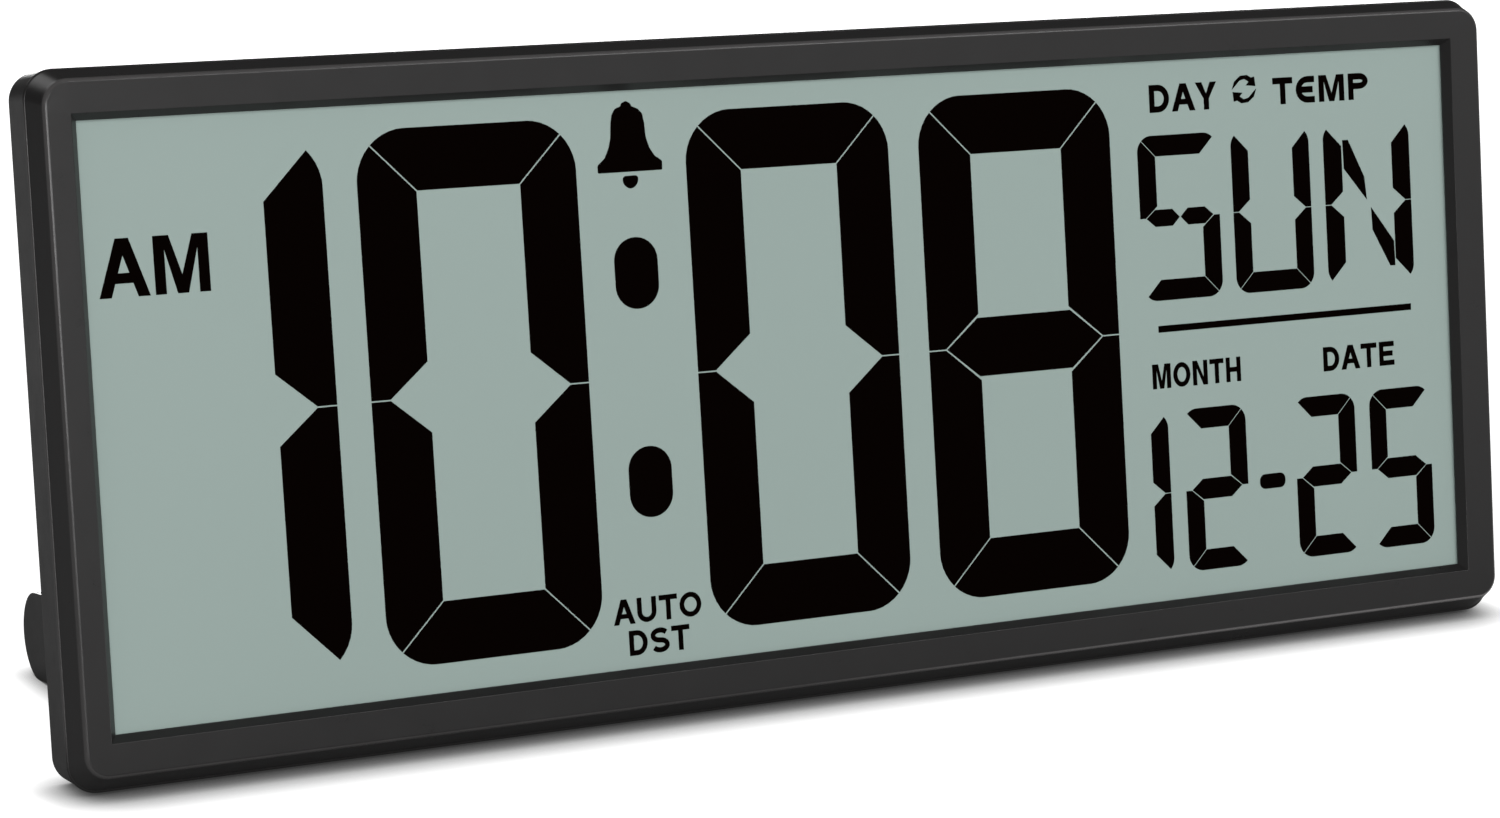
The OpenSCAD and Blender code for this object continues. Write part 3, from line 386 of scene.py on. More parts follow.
def cell_sleeve(name):
    """Battery cell: bare steel near its ends, a dark sleeve between two pale bands."""
    f = Finish(name)
    x, _, _ = f.axes()
    away = f.size_of(x)
    bare = away > SLEEVE_END_X
    band = (away > BAND_X[0]) * (away < BAND_X[1])
    cloud = f.noise(5, 3)
    sleeve = f.blend(cloud, (0.03, 0.035, 0.045), (0.045, 0.05, 0.062))
    tone = f.blend(bare, f.blend(band, sleeve, (0.5, 0.5, 0.5)), (0.72, 0.72, 0.74))
    return f.close(Base_Color=tone, Metallic=bare * 0.95, Roughness=0.3 + swing(cloud, 0.14),
                   Normal=f.bump(cloud, 0.02))


# ---- mesh helpers ----


def mesh_from(bm, name):
    """Ends a bmesh as a mesh."""
    mesh = bpy.data.meshes.new(name)
    bm.to_mesh(mesh)
    bm.free()
    return mesh


def add_object(name, data):
    """A new object in the scene."""
    thing = bpy.data.objects.new(name, data)
    bpy.context.scene.collection.objects.link(thing)
    return thing


def only(kind, geom):
    """The vertices or the edges among an operator's results."""
    return [g for g in geom if isinstance(g, kind)]


def publish(mesh, material, body, smooth):
    """Makes a finished mesh a smoothly shaded piece that rides on a body."""
    mesh.materials.append(material)
    piece = add_object(mesh.name, mesh)
    mesh.polygons.foreach_set("use_smooth", [True] * len(mesh.polygons))
    mesh.set_sharp_from_angle(angle=math.radians(smooth))
    weighted = piece.modifiers.new("Even shading", "WEIGHTED_NORMAL")
    weighted.keep_sharp = True
    weighted.weight = 80
    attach(piece, body)
    return piece


def publish_drawn(bm, name, material, body, smooth):
    """Turns a finished bmesh in casing millimetres into a piece."""
    bmesh.ops.transform(bm, matrix=STAND, verts=bm.verts)
    bmesh.ops.recalc_face_normals(bm, faces=bm.faces)
    return publish(mesh_from(bm, name), material, body, smooth)


def dress(node, material, smooth=32, edge_mm=0.0, shape=None):
    """Stands a smoothly shaded copy of a CAD node in its place, with its hard edges broken if asked."""
    source = frame["nodes"][node]
    bm = bmesh.new()
    bm.from_mesh(source.data)
    bmesh.ops.remove_doubles(bm, verts=bm.verts, dist=2e-6)
    bmesh.ops.dissolve_degenerate(bm, dist=1e-7, edges=bm.edges)
    if shape:
        shape(bm)
    if edge_mm:
        bmesh.ops.dissolve_limit(bm, angle_limit=math.radians(0.5), verts=bm.verts, edges=bm.edges)
        hard = [e for e in bm.edges
                if len(e.link_faces) == 2 and e.calc_face_angle_signed(0.0) > HARD_EDGE]
        bmesh.ops.bevel(bm, geom=hard, offset=edge_mm * MM, segments=2, profile=0.5, affect="EDGES",
                        material=-1, clamp_overlap=True, loop_slide=True)
        bmesh.ops.triangulate(bm, faces=[f for f in bm.faces if len(f.verts) > 4])
    mesh = mesh_from(bm, node + "_finished")
    piece = publish(mesh, material, source["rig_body"], smooth)
    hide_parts(node)


def tint(material, *nodes):
    """Gives CAD nodes their finish and keeps their meshes."""
    for node in nodes:
        piece = frame["nodes"][node]
        piece.data.materials.clear()
        piece.data.materials.append(material)


def flat_face(bm, points, y):
    """One face of a few casing (x, z) corners at depth y, facing the front."""
    verts = [bm.verts.new((x, y, z)) for x, z in points]
    face = bm.faces.new(verts)
    face.normal_update()
    if face.normal.y > 0:
        bmesh.ops.reverse_faces(bm, faces=[face])
    return face


def raise_plate(bm, faces, height):
    """Gives flat faces a thickness towards the front."""
    made = bmesh.ops.extrude_face_region(bm, geom=faces)["geom"]
    bmesh.ops.translate(bm, verts=only(bmesh.types.BMVert, made), vec=(0, -height, 0))


def merge_into(target, source):
    """Adds one bmesh to another."""
    mesh = mesh_from(source, "step")
    target.from_mesh(mesh)
    bpy.data.meshes.remove(mesh)


def box(left, top, right, bottom):
    """Four corners."""
    return [(left, top), (right, top), (right, bottom), (left, bottom)]


# ---- display drawing ----

# Places on the film count twice these steps across and down the window
MIDDLE_U, MIDDLE_V = 1500, 500
ACROSS, DOWN = WINDOW_W / (2 * MIDDLE_U), WINDOW_H / (2 * MIDDLE_V)
SLANT = 0.0095


def on_film(u, v):
    """Casing (x, z) of a place on the film."""
    return (WINDOW_DX + (u + SLANT * (v - MIDDLE_V) - MIDDLE_U) * ACROSS, (MIDDLE_V - v) * DOWN)


def dash(left, right, middle, left_lead, right_lead, deep):
    """Corners of a level bar that is pointed at both ends."""
    return [(left, middle), (left + left_lead, middle - deep), (right - right_lead, middle - deep),
            (right, middle), (right - right_lead, middle + deep), (left + left_lead, middle + deep)]


def bar_corners(bar, w, h, s):
    """Corners of one bar of a digit, by its box's width and height and its stroke."""
    half = h / 2
    tip, drop = 0.34 * s, 0.55 * s
    top = [(0, 0), (w, 0), (w - s, s), (s, s)]
    left = [(0, 0), (s, s), (s, half - drop), (tip, half), (0, half)]
    half_dash = dash(tip, w / 2, half, 0.5 * s, 0.42 * s, 0.41 * s)
    return {
        "a": top, "d": [(x, h - z) for x, z in top],
        "f": left, "e": [(x, h - z) for x, z in left],
        "b": [(w - x, z) for x, z in left], "c": [(w - x, h - z) for x, z in left],
        "g": dash(tip, w - tip, half, 0.62 * s, 0.62 * s, s / 2),
        "g1": half_dash, "g2": [(w - x, z) for x, z in half_dash],
    }[bar]


def draw_digit(bm, left, top, right, bottom, bars, stroke, radius, gap):
    """Draws the lit bars of one digit between the film places of its box."""
    x0, z0 = on_film(left, MIDDLE_V)[0], on_film(0, top)[1]
    w, h = (right - left) * ACROSS, (bottom - top) * DOWN
    grow = gap / 2
    for bar in bars.split():
        part = bmesh.new()
        points = bar_corners(bar, w + gap, h + gap, stroke + gap)
        flat_face(part, [(x - grow, -(z - grow)) for x, z in points], 0)
        for cx, cz, start in ((1, 0, 0), (0, 0, 90), (0, 1, 180), (1, 1, 270)):
            centre = Vector((radius + cx * (w - 2 * radius), 0, -(radius + cz * (h - 2 * radius))))
            for k in range(10):
                angle = math.radians(start + 9 * (k + 0.5))
                way = Vector((math.cos(angle), 0, math.sin(angle)))
                geom = part.verts[:] + part.edges[:] + part.faces[:]
                bmesh.ops.bisect_plane(part, geom=geom, dist=1e-5, clear_outer=True,
                                       plane_co=centre + way * (radius + grow), plane_no=way)
        ring = bmesh.ops.inset_individual(part, faces=part.faces[:], thickness=grow,
                                          use_even_offset=True)["faces"]
        bmesh.ops.delete(part, geom=ring, context="FACES")
        for vert in part.verts:
            x, z = vert.co.x, vert.co.z
            drift = SLANT * ((top - MIDDLE_V) - z / DOWN) * ACROSS
            vert.co = Vector((x0 + x + drift, FILM_Y, z0 + z))
        merge_into(bm, part)


def draw_shape(bm, points, rounding=0.0, steps=4, holes=()):
    """Draws a closed flat shape through (x, z) points, with rounded corners or holes if asked."""
    part = bmesh.new()
    face = flat_face(part, points, FILM_Y)
    if rounding:
        bmesh.ops.bevel(part, geom=list(face.verts), offset=rounding, segments=steps, profile=0.5,
                        affect="VERTICES", material=-1, clamp_overlap=True)
    if holes:
        for hole in holes:
            flat_face(part, hole, FILM_Y)
        rims = part.edges[:]
        bmesh.ops.delete(part, geom=part.faces[:], context="FACES_ONLY")
        bmesh.ops.triangle_fill(part, edges=rims, use_beauty=True, normal=(0, -1, 0))
    merge_into(bm, part)


def arc(cx, cy, rx, ry, start, end, steps=12):
    """Points along an ellipse, by degrees from the right and round downwards."""
    turns = [math.radians(start + (end - start) * k / steps) for k in range(steps + 1)]
    return [(cx + rx * math.cos(a), cy + ry * math.sin(a)) for a in turns]


def bowl(w, h, bend, trim):
    """Outline of a bowl with a straight left side, moved in by trim all round."""
    return [(trim, trim), *arc(w - bend, h / 2, bend - trim, h / 2 - trim, -90, 90), (trim, h - trim)]


def letter(name, w, h, t):
    """Shapes of a plain capital w wide, h high and t thick, each its outline and then its holes."""
    mid, half, r = w / 2, h / 2, t / 2
    if name == "A":
        apex, foot, low, high = 0.6 * t, 1.1 * t, 0.765 * h, 0.765 * h - 0.9 * t
        run = mid - apex
        inner = [foot + run * (1 - y / h) for y in (low, high)]
        hole = [(inner[1], high), (w - inner[1], high), (mid, h - h * (mid - foot) / run)]
        return [[[(0, h), (mid - apex, 0), (mid + apex, 0), (w, h), (w - foot, h), (w - inner[0], low),
                  (inner[0], low), (foot, h)], hole]]
    if name == "D":
        return [[bowl(w, h, 0.56 * w, 0), bowl(w, h, 0.56 * w, t)]]
    if name == "P":
        deep = 0.6 * h
        outer = bowl(w, deep, 0.45 * w, 0)
        return [[[*outer[:-1], (t, deep), (t, h), (0, h)], bowl(w, deep, 0.45 * w, t)]]
    if name == "O":
        return [[arc(mid, half, mid - trim, half - trim, 0, 345, 23) for trim in (0, t)]]
    if name == "U":
        deep = h - mid
        return [[[(w, 0), *arc(mid, deep, mid, mid, 0, 180), (0, 0), (t, 0),
                  *arc(mid, deep, mid - t, mid - t, 180, 0), (w - t, 0)]]]
    if name == "S":
        line = [*arc(mid, h / 4 + r / 2, mid - r, h / 4 - r / 2, -28, -270),
                *arc(mid, 0.75 * h - r / 2, mid - r, h / 4 - r / 2, -90, 152)[1:]]
        return [[ribbon(line, r)]]
    if name == "round E":
        bend = 0.62 * w
        line = [(w, r), *arc(bend, half, bend - r, half - r, -90, -270), (w, h - r)]
        return [[ribbon(line, r)], [box(t, half - r, 0.9 * w, half + r)]]
    diagonal = 1.45 * t
    return [[{
        "T": [(0, 0), (w, 0), (w, t), (mid + r, t), (mid + r, h), (mid - r, h), (mid - r, t), (0, t)],
        "H": [(0, 0), (t, 0), (t, half - r), (w - t, half - r), (w - t, 0), (w, 0), (w, h), (w - t, h),
              (w - t, half + r), (t, half + r), (t, h), (0, h)],
        "E": [(0, 0), (w, 0), (w, t), (t, t), (t, half - r), (0.9 * w, half - r), (0.9 * w, half + r),
              (t, half + r), (t, h - t), (w, h - t), (w, h), (0, h)],
        "F": [(0, 0), (w, 0), (w, t), (t, t), (t, half - r), (0.85 * w, half - r), (0.85 * w, half + r),
              (t, half + r), (t, h), (0, h)],
        "M": [(0, 0), (diagonal, 0), (mid, 0.68 * h), (w - diagonal, 0), (w, 0), (w, h), (w - t, h),
              (w - t, 0.24 * h), (mid + r, h), (mid - r, h), (t, 0.24 * h), (t, h), (0, h)],
        "N": [(0, 0), (1.1 * t, 0), (w - t, 0.68 * h), (w - t, 0), (w, 0), (w, h), (w - 1.1 * t, h),
              (t, 0.32 * h), (t, h), (0, h)],
        "Y": [(0, 0), (1.25 * t, 0), (mid, 0.42 * h), (w - 1.25 * t, 0), (w, 0), (mid + r, 0.6 * h),
              (mid + r, h), (mid - r, h), (mid - r, 0.6 * h)],
    }[name]]]


def ribbon(line, half):
    """Outline of a stroke along a line, half its width to each side."""
    sides = ([], [])
    for k, (x, y) in enumerate(line):
        before, after = line[max(k - 1, 0)], line[min(k + 1, len(line) - 1)]
        way = Vector((after[0] - before[0], after[1] - before[1])).normalized()
        sides[0].append((x - way.y * half, y + way.x * half))
        sides[1].append((x + way.y * half, y - way.x * half))
    return sides[0] + sides[1][::-1]


# Width of each capital, and the room at each of its sides, as shares of its height
LETTER_W = {"A": 0.9, "U": 0.8, "T": 0.76, "O": 0.92, "D": 0.76, "S": 0.78, "Y": 0.82, "M": 0.98,
            "P": 0.77, "N": 0.8, "H": 0.8, "E": 0.72, "round E": 0.72, "F": 0.7}
LETTER_ROOM = {"A": 0.01, "Y": 0.01, "T": 0.04, "O": 0.05, "S": 0.05}
PLAIN_ROOM = 0.08


def draw_word(bm, word, width, height, stroke, place):
    """Draws a word in a plain face; place turns steps right and down from its corner into a casing (x, z)."""
    rooms = [LETTER_ROOM.get(name, PLAIN_ROOM) for name in word]
    total = sum(LETTER_W[name] for name in word) + 2 * sum(rooms) - rooms[0] - rooms[-1]
    along = width / total
    x = -rooms[0] * along
    for name, room in zip(word, rooms):
        x += room * along
        for shape in letter(name, LETTER_W[name] * along, height, stroke):
            outline, *holes = [[place(x + px, pz) for px, pz in loop] for loop in shape]
            draw_shape(bm, outline, holes=holes)
        x += (LETTER_W[name] + room) * along


BELL = [(1081.6, 22.1), (1092.5, 18), (1102.1, 23.1), (1103.2, 27.7), (1116.4, 32.4), (1125.7, 41.5),
        (1128.9, 58.9), (1130.3, 82.1), (1136.9, 100.9), (1146.8, 114.7), (1161.8, 124.1), (1161.6, 140),
        (1025.1, 140), (1025.3, 126.1), (1040.7, 114.9), (1050.2, 98.2), (1055.4, 81.2), (1057.7, 55.5),
        (1060.7, 41.2), (1068.4, 30.7), (1081.4, 26.7)]
CLAPPER = [(1078, 146.8), (1108.6, 146.8), (1110, 156), (1103.1, 166), (1092.3, 170), (1081.3, 165),
           (1075.5, 156)]
BELL_MIDDLE, BELL_TALL = (1093.45, 94), 152
ARROW = [(2474.4, 61.8), (2481.1, 46.5), (2496.1, 36.4), (2513.0, 35.3), (2523.4, 40.7), (2531.5, 39.0),
         (2533.7, 57.2), (2509.4, 54.8), (2516.6, 48.1), (2506.6, 42.7), (2494.8, 45.3), (2483.8, 54.5)]
# The same arrow turned half round about (2505, 61.4)
ARROW_BACK = [(5010 - u, 122.8 - v) for u, v in ARROW]
SLASH_HIGH = [(2745.1, 168.5), (2759.6, 168.5), (2797.6, 240.2), (2802.1, 284.5), (2746.4, 222.8)]
SLASH_LOW = [(2811.5, 298.5), (2867.3, 366.3), (2868.2, 413), (2855.2, 413), (2813.2, 342)]
# Stroke, outer radius and gap of the tall digits and of the small ones
TALL, SMALL = (13.25, 11.35, 0.31), (4.8, 3.9, 0.17)
# Each digit's box on the film (left, top, right, bottom), lit bars, stroke, radius and gap
DIGITS = (
    (21.2, 42.2, 466.8, 950.4, "b c", *TALL),
    (534.4, 42.2, 979.9, 950.4, "a b c d e f", *TALL),
    (1212.4, 42.4, 1658.2, 951.1, "a b c d e f", *TALL),
    (1726.6, 42.5, 2172.7, 951.5, "a b c d e f g", *TALL),
    (2237, 137, 2431, 442, "a f g1 g2 c d", *SMALL),
    (2465, 137, 2660, 442, "b c d e f", *SMALL),
    (2696, 137, 2916, 442, "b c e f", 5.2, *SMALL[1:]),
    (2126, 648, 2280, 952, "b c", *SMALL),
    (2317, 648, 2471, 952, "a b g e d", *SMALL),
    (2593, 648, 2747, 952, "a b g e d", *SMALL),
    (2785, 648, 2941, 952, "a f g c d", *SMALL),
)
# Slashes of the N, dash, line, colon, bell and arrows: film places, rounding and its steps
OUTLINES = (
    (SLASH_HIGH, 0.0, 4),
    (SLASH_LOW, 0.0, 4),
    (box(2500, 785, 2564, 813), 1.5, 4),
    (box(2268, 488.5, 2904, 501), 0.0, 4),
    (box(1048, 253, 1140, 377), 5.1, 10),
    (box(1051.5, 616, 1143.5, 740), 5.1, 10),
    (BELL, 0.35, 3),
    (CLAPPER, 0.8, 4),
    (ARROW, 0.0, 4),
    (ARROW_BACK, 0.0, 4),
)
# Letters, box and stroke
WORDS = (
    ("AM", 27, 193.5, 238, 289.7, 2.35),
    ("AUTO", 1001, 878, 1190, 922, 1.15),
    ("DST", 1031, 934, 1161, 978, 1.15),
    ("DAY", 2272, 44, 2437, 95, 1.45),
    (("T", "round E", "M", "P"), 2576, 44, 2817, 94, 1.5),
    ("MONTH", 2248, 559, 2465, 605, 1.15),
    ("DATE", 2673, 557, 2855, 603, 1.25),
)


def draw_display(bm):
    """All lit parts of the display as flat faces on the film."""
    for digit in DIGITS:
        draw_digit(bm, *digit)
    for places, rounding, steps in OUTLINES:
        draw_shape(bm, [on_film(*place) for place in places], rounding, steps)
    for word, left, top, right, bottom, stroke in WORDS:
        draw_word(bm, word, (right - left) * ACROSS, (bottom - top) * DOWN, stroke,
                  lambda x, z: on_film(left + x / ACROSS, top + z / DOWN))


# ---- marks on the back ----

# Left side of the words, as seen from behind, and the signs' middle and height
MARK_X, SIGN_X, SIGN_TALL = -58.5, -54.5, 5.0
# Turns a flat drawing round, so that it reads from behind, and lays it on the housing
BEHIND = Matrix.Translation((0, HUMP_Y, 0)) @ Matrix.Rotation(math.pi, 4, "Z")


def draw_rear_marks(bm):
    """Plain signs beside the buttons, as seen from behind, and the words at the slide switch."""
    height = {name: BUTTON_TOP_Z - BUTTON_PITCH * k for k, name in enumerate(BUTTONS)}
    x, z = SIGN_X, height["mode"]
    rim, inside = (arc(x, z, radius, radius, 0, 348, 29) for radius in (2.4, 1.95))
    draw_shape(bm, rim, holes=[inside])
    draw_shape(bm, ribbon([(x, z + 1.5), (x, z), (x + 1.1, z - 0.5)], 0.2))
    for name, way in (("up", 1), ("down", -1)):
        foot, tip = height[name] - 1.5 * way, height[name] + 2.1 * way
        draw_shape(bm, [(x - 2.2, foot), (x + 2.2, foot), (x, tip)], 0.15, 2)
    z, size = height["alarm"], SIGN_TALL / BELL_TALL
    for outline in (BELL, CLAPPER):
        draw_shape(bm, [(x + (u - BELL_MIDDLE[0]) * size * ACROSS / DOWN, z - (v - BELL_MIDDLE[1]) * size)
                        for u, v in outline])
    z = height["temperature"]
    draw_shape(bm, [*arc(x, z - 1.5, 1.1, 1.1, 120, 420, 20), *arc(x, z + 2.2, 0.55, 0.55, 0, 180, 8)])
    for k in range(3):
        draw_shape(bm, box(x + 1.2, z + 0.1 + 0.8 * k, x + 2.1, z + 0.4 + 0.8 * k))
    for word, z in (("ON", SWITCH_Z + 4.6), ("OFF", SWITCH_Z - 2.0)):
        draw_word(bm, word, 2.6 * len(word), 2.6, 0.42, lambda right, down: (MARK_X + right, z - down))


def draw_door_arrow(bm):
    """Arrow on the battery door towards its latch, as seen from behind."""
    half = 4.5
    draw_shape(bm, [(-half, 18.5), (half, 18.5), (0, 24.5)], 0.5, 3)
    for z in (15.9, 13.7, 11.5):
        draw_shape(bm, box(-half, z - 0.55, half, z + 0.55), 0.5, 3)


# ---- pieces ----

def frame_profile():
    """Steps (inward, depth) over the rounded lip at the seam, the shoulder and the rounded ridge."""
    lip = [(LIP_W - x, y) for x, y in arc(0, LIP_Y, LIP_W, LIP_DEPTH, 0, -84, 6)]
    foot, crest = Vector(FOOT), Vector((CREST_IN, FACE_Y))
    slope = (crest - foot).normalized()
    turn = math.atan2(slope.x, -slope.y)
    rest = math.pi / 2 - turn
    centre = Vector((crest.x + RIDGE_R * math.tan(rest / 2), FACE_Y + RIDGE_R))
    angles = [turn + rest * k / 8 for k in range(9)]
    ridge = [(centre.x - RIDGE_R * math.cos(a), centre.y - RIDGE_R * math.sin(a)) for a in angles]
    return [*lip, tuple(foot), *ridge]


def step_in(bm, face, inward, forward):
    """Carries a face on by one step of a profile."""
    bmesh.ops.inset_individual(bm, faces=[face], thickness=inward, depth=forward, use_even_offset=True)


def chin_drop(depth, profile):
    """How far the lower half of the outline moves down at a depth, for the wider shoulder there."""
    inset = 0.0 if depth > 0 else SHOULDER_W
    for (near, high), (far, low) in zip(profile, profile[1:]):
        if low <= depth <= high and high > low:
            inset = near + (far - near) * (high - depth) / (high - low)
            break
    return CHIN_MORE * max(0.0, 1 - inset / SHOULDER_W)


def widen_corner(vert):
    """Rounds the ridge's corners more than the outline's, the more so the nearer to the front."""
    x, z = abs(vert.co.x) - (OUT_W / 2 - CORNER_R), abs(vert.co.z) - (OUT_H / 2 - CORNER_R)
    radius = math.hypot(x, z)
    share = min(1.0, max(0.0, (FOOT[1] - vert.co.y) / (FOOT[1] - FACE_Y)))
    more = RIDGE_R_MORE[vert.co.z < 0] * share
    vert.co.x -= math.copysign(more * (1 - x / radius), vert.co.x)
    vert.co.z -= math.copysign(more * (1 - z / radius), vert.co.z)


def draw_side_walls_out(bm):
    """Gives the rear cover's outer walls their draft: nearly flush with the frame at the seam."""
    middle = -CHIN_MORE / 2
    half_w, half_h = OUT_W / 2 - CORNER_R, (OUT_H + CHIN_MORE) / 2 - CORNER_R
    for vert in bm.verts:
        at = STAND.inverted() @ vert.co
        x, z = max(0.0, abs(at.x) - half_w), max(0.0, abs(at.z - middle) - half_h)
        if math.hypot(x, z) < CORNER_R - COVER_INSET - WALL_SLACK or at.y > DRAFT_END_Y:
            continue
        share = min(1.0, (DRAFT_END_Y - at.y) / (DRAFT_END_Y - SEAM_Y))
        way = Vector((math.copysign(x, at.x), 0.0, math.copysign(z, at.z - middle))).normalized()
        vert.co = STAND @ (at + way * COVER_DRAFT * share)


def cut_window(bm, bevel):
    """Sinks the window into the flat front, with its slope and its thin edge; returns both rims."""
    edge_x, edge_z = WINDOW_W / 2 + bevel, WINDOW_H / 2 + bevel
    for at, way in (((WINDOW_DX - edge_x, 0, 0), (1, 0, 0)), ((WINDOW_DX + edge_x, 0, 0), (1, 0, 0)),
                    ((0, 0, -edge_z), (0, 0, 1)), ((0, 0, edge_z), (0, 0, 1))):
        front = [f for f in bm.faces if all(abs(v.co.y - FACE_Y) < NEAR for v in f.verts)]
        geom = list({g for f in front for g in (f, *f.edges, *f.verts)})
        bmesh.ops.bisect_plane(bm, geom=geom, dist=1e-5, plane_co=at, plane_no=way)
    middle = Vector((WINDOW_DX, FACE_Y, 0))
    centre = min((f for f in bm.faces if abs(f.calc_center_median().y - FACE_Y) < NEAR),
                 key=lambda f: (f.calc_center_median() - middle).length)
    rim = list(centre.edges)
    step_in(bm, centre, bevel, FACE_Y - INSIDE_Y + EDGE_WALL)
    step_in(bm, centre, 0.0, -EDGE_WALL)
    inner = list(centre.edges)
    bmesh.ops.delete(bm, geom=[centre], context="FACES_ONLY")
    return rim, inner


def close_back(bm, inner):
    """Back of the shell: in from the seam, forward, and across to the window's edge."""
    outer = [e for e in bm.edges if e.is_boundary and abs(e.verts[0].co.y - SEAM_Y) < NEAR]
    made = bmesh.ops.extrude_edge_only(bm, edges=outer)["geom"]
    for vert in only(bmesh.types.BMVert, made):
        vert.co.x -= math.copysign(FRAME_WALL, vert.co.x)
        vert.co.z -= FRAME_WALL if vert.co.z > 0 else -FRAME_WALL - CHIN_MORE
    made = bmesh.ops.extrude_edge_only(bm, edges=only(bmesh.types.BMEdge, made))["geom"]
    bmesh.ops.translate(bm, verts=only(bmesh.types.BMVert, made), vec=(0, INSIDE_Y - SEAM_Y, 0))
    back = only(bmesh.types.BMEdge, made)
    bmesh.ops.triangle_fill(bm, edges=back + inner, use_beauty=True, normal=(0, 1, 0))


def bezel_mesh(options):
    """The whole front frame, from the seam forwards."""
    bm = bmesh.new()
    face = flat_face(bm, box(-OUT_W / 2, -OUT_H / 2, OUT_W / 2, OUT_H / 2), SEAM_Y)
    bmesh.ops.bevel(bm, geom=list(face.verts), offset=CORNER_R, segments=24, profile=0.5,
                    affect="VERTICES", material=-1)
    face = bm.faces[:][0]
    profile = [(0.0, SEAM_Y), *frame_profile()]
    for (inset, depth), (next_inset, next_depth) in zip(profile, profile[1:]):
        step_in(bm, face, next_inset - inset, depth - next_depth)
    for vert in bm.verts:
        widen_corner(vert)
        if vert.co.z < 0:
            vert.co.z -= chin_drop(vert.co.y, profile)
    rim, inner = cut_window(bm, options.chamfer / MM)
    close_back(bm, [e for e in inner if e.is_valid])
    bmesh.ops.bevel(bm, geom=[e for e in rim if e.is_valid], offset=EDGE_R, segments=2, profile=0.5,
                    affect="EDGES", material=-1)
    bmesh.ops.remove_doubles(bm, verts=bm.verts, dist=NEAR)
    return bm


class ClockSizes(bpy.types.PropertyGroup):
    """Sizes of the drawn pieces."""

    chamfer: bpy.props.FloatProperty(
        name="Window chamfer", description="Width of the slope around the display window",
        default=1.5 * MM, min=0.5 * MM, max=3 * MM, unit="LENGTH", precision=4)
    ink_height: bpy.props.FloatProperty(
        name="Segment height", description="How far a lit segment stands in front of the film",
        default=INK_HEIGHT * MM, min=0.005 * MM, max=0.2 * MM, unit="LENGTH", precision=5)
    camera_lens: bpy.props.FloatProperty(
        name="Lens", description="Focal length of the camera on a 36 mm wide sensor",
        default=97.214, min=20, max=300)
    view_from: bpy.props.FloatVectorProperty(
        name="Camera place", description="Camera's place in the casing's own axes",
        default=(-0.42494, -0.78774, 0.0715), size=3, subtype="TRANSLATION", unit="LENGTH", precision=4)
    view_turn: bpy.props.FloatProperty(
        name="Camera azimuth", description="How far round to the casing's left the camera looks from",
        default=math.radians(27.116), unit="ROTATION")
    view_rise: bpy.props.FloatProperty(
        name="Camera elevation", description="How far above the casing's middle plane the camera looks from",
        default=math.radians(5.172), unit="ROTATION")
    view_roll: bpy.props.FloatProperty(
        name="Camera roll", description="Turn of the camera about its own view",
        default=math.radians(-2.873), unit="ROTATION")


def colour(name, description, default):
    """A colour that a user can change."""
    return bpy.props.FloatVectorProperty(name=name, description=description, default=default,
                                         size=3, subtype="COLOR", min=0, max=1)


class ClockColours(bpy.types.PropertyGroup):
    """Colours of the finishes."""

    casing: colour("Casing", "Moulded black plastic", (0.0175, 0.0168, 0.0168))
    film: colour("Display film", "Grey-green face of the display", (0.318, 0.398, 0.372))
    button: colour("Buttons", "Moulded dark grey plastic", (0.05, 0.05, 0.052))
    board: colour("Circuit boards", "Green solder mask", (0.015, 0.12, 0.045))
    floor: colour("Floor", "Pale studio floor", (0.5, 0.5, 0.5))


class ClockOperator(bpy.types.Operator):
    """Base of the clock's operators."""

    bl_options = {"REGISTER", "UNDO"}

    @property
    def sizes(self):
        return bpy.context.scene.clock_sizes

    @property
    def colours(self):
        return bpy.context.scene.clock_colours


class CLOCK_OT_bezel(ClockOperator):
    """Builds the front frame with its shoulder, ridge and window chamfer"""

    bl_idname = "clock.bezel"
    bl_label = "Front frame"

    def execute(self, context):
        material = bezel_plastic("Bezel plastic", self.colours.casing, 0.3)
        bm = bezel_mesh(self.sizes)
        piece = publish_drawn(bm, "front_frame_shell", material, CASING, smooth=28)
        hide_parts("front_frame")
        return {"FINISHED"}


class CLOCK_OT_shell(ClockOperator):
    """Finishes the rear cover, the battery door and their screws"""

    bl_idname = "clock.shell"
    bl_label = "Rear cover and door"

    def execute(self, context):
        material = grained_plastic("Cover plastic", self.colours.casing, 0.4, grain_mm=0.2, relief_mm=0.016,
                                   ior_level=0.3)
        dress("rear_cover", material, edge_mm=0.2, shape=draw_side_walls_out)
        dress("battery_door", material, edge_mm=0.2)
        ink = lacquered_plastic("Printed marks", (0.5, 0.5, 0.5), 0.5)
        for name, draw, height, finish, body, node in (
                ("printed_marks", draw_rear_marks, MARK_HEIGHT, ink, CASING, "rear_cover"),
                ("door_grip", draw_door_arrow, GRIP_HEIGHT, material, "battery_door", "battery_door")):
            bm = bmesh.new()
            draw(bm)
            raise_plate(bm, bm.faces[:], height)
            bmesh.ops.transform(bm, matrix=BEHIND, verts=bm.verts)
            publish_drawn(bm, name, finish, body, smooth=20)
        dress("casing_screws", rolled_metal("Screw steel", (0.5, 0.5, 0.52), 0.34, (1, 1, 1), 0.3))
        return {"FINISHED"}


class CLOCK_OT_legs(ClockOperator):
    """Finishes both legs and their hinge pins"""

    bl_idname = "clock.legs"
    bl_label = "Stand legs"

    def execute(self, context):
        material = grained_plastic("Leg plastic", self.colours.casing, 0.4, ior_level=0.3)
        for side in ("left", "right"):
            dress("leg_" + side, material, edge_mm=0.4)
            tint(rolled_metal("Pin steel " + side, (0.6, 0.6, 0.62), 0.28, (1, 1, 0.1)), "leg_pin_" + side)
        return {"FINISHED"}


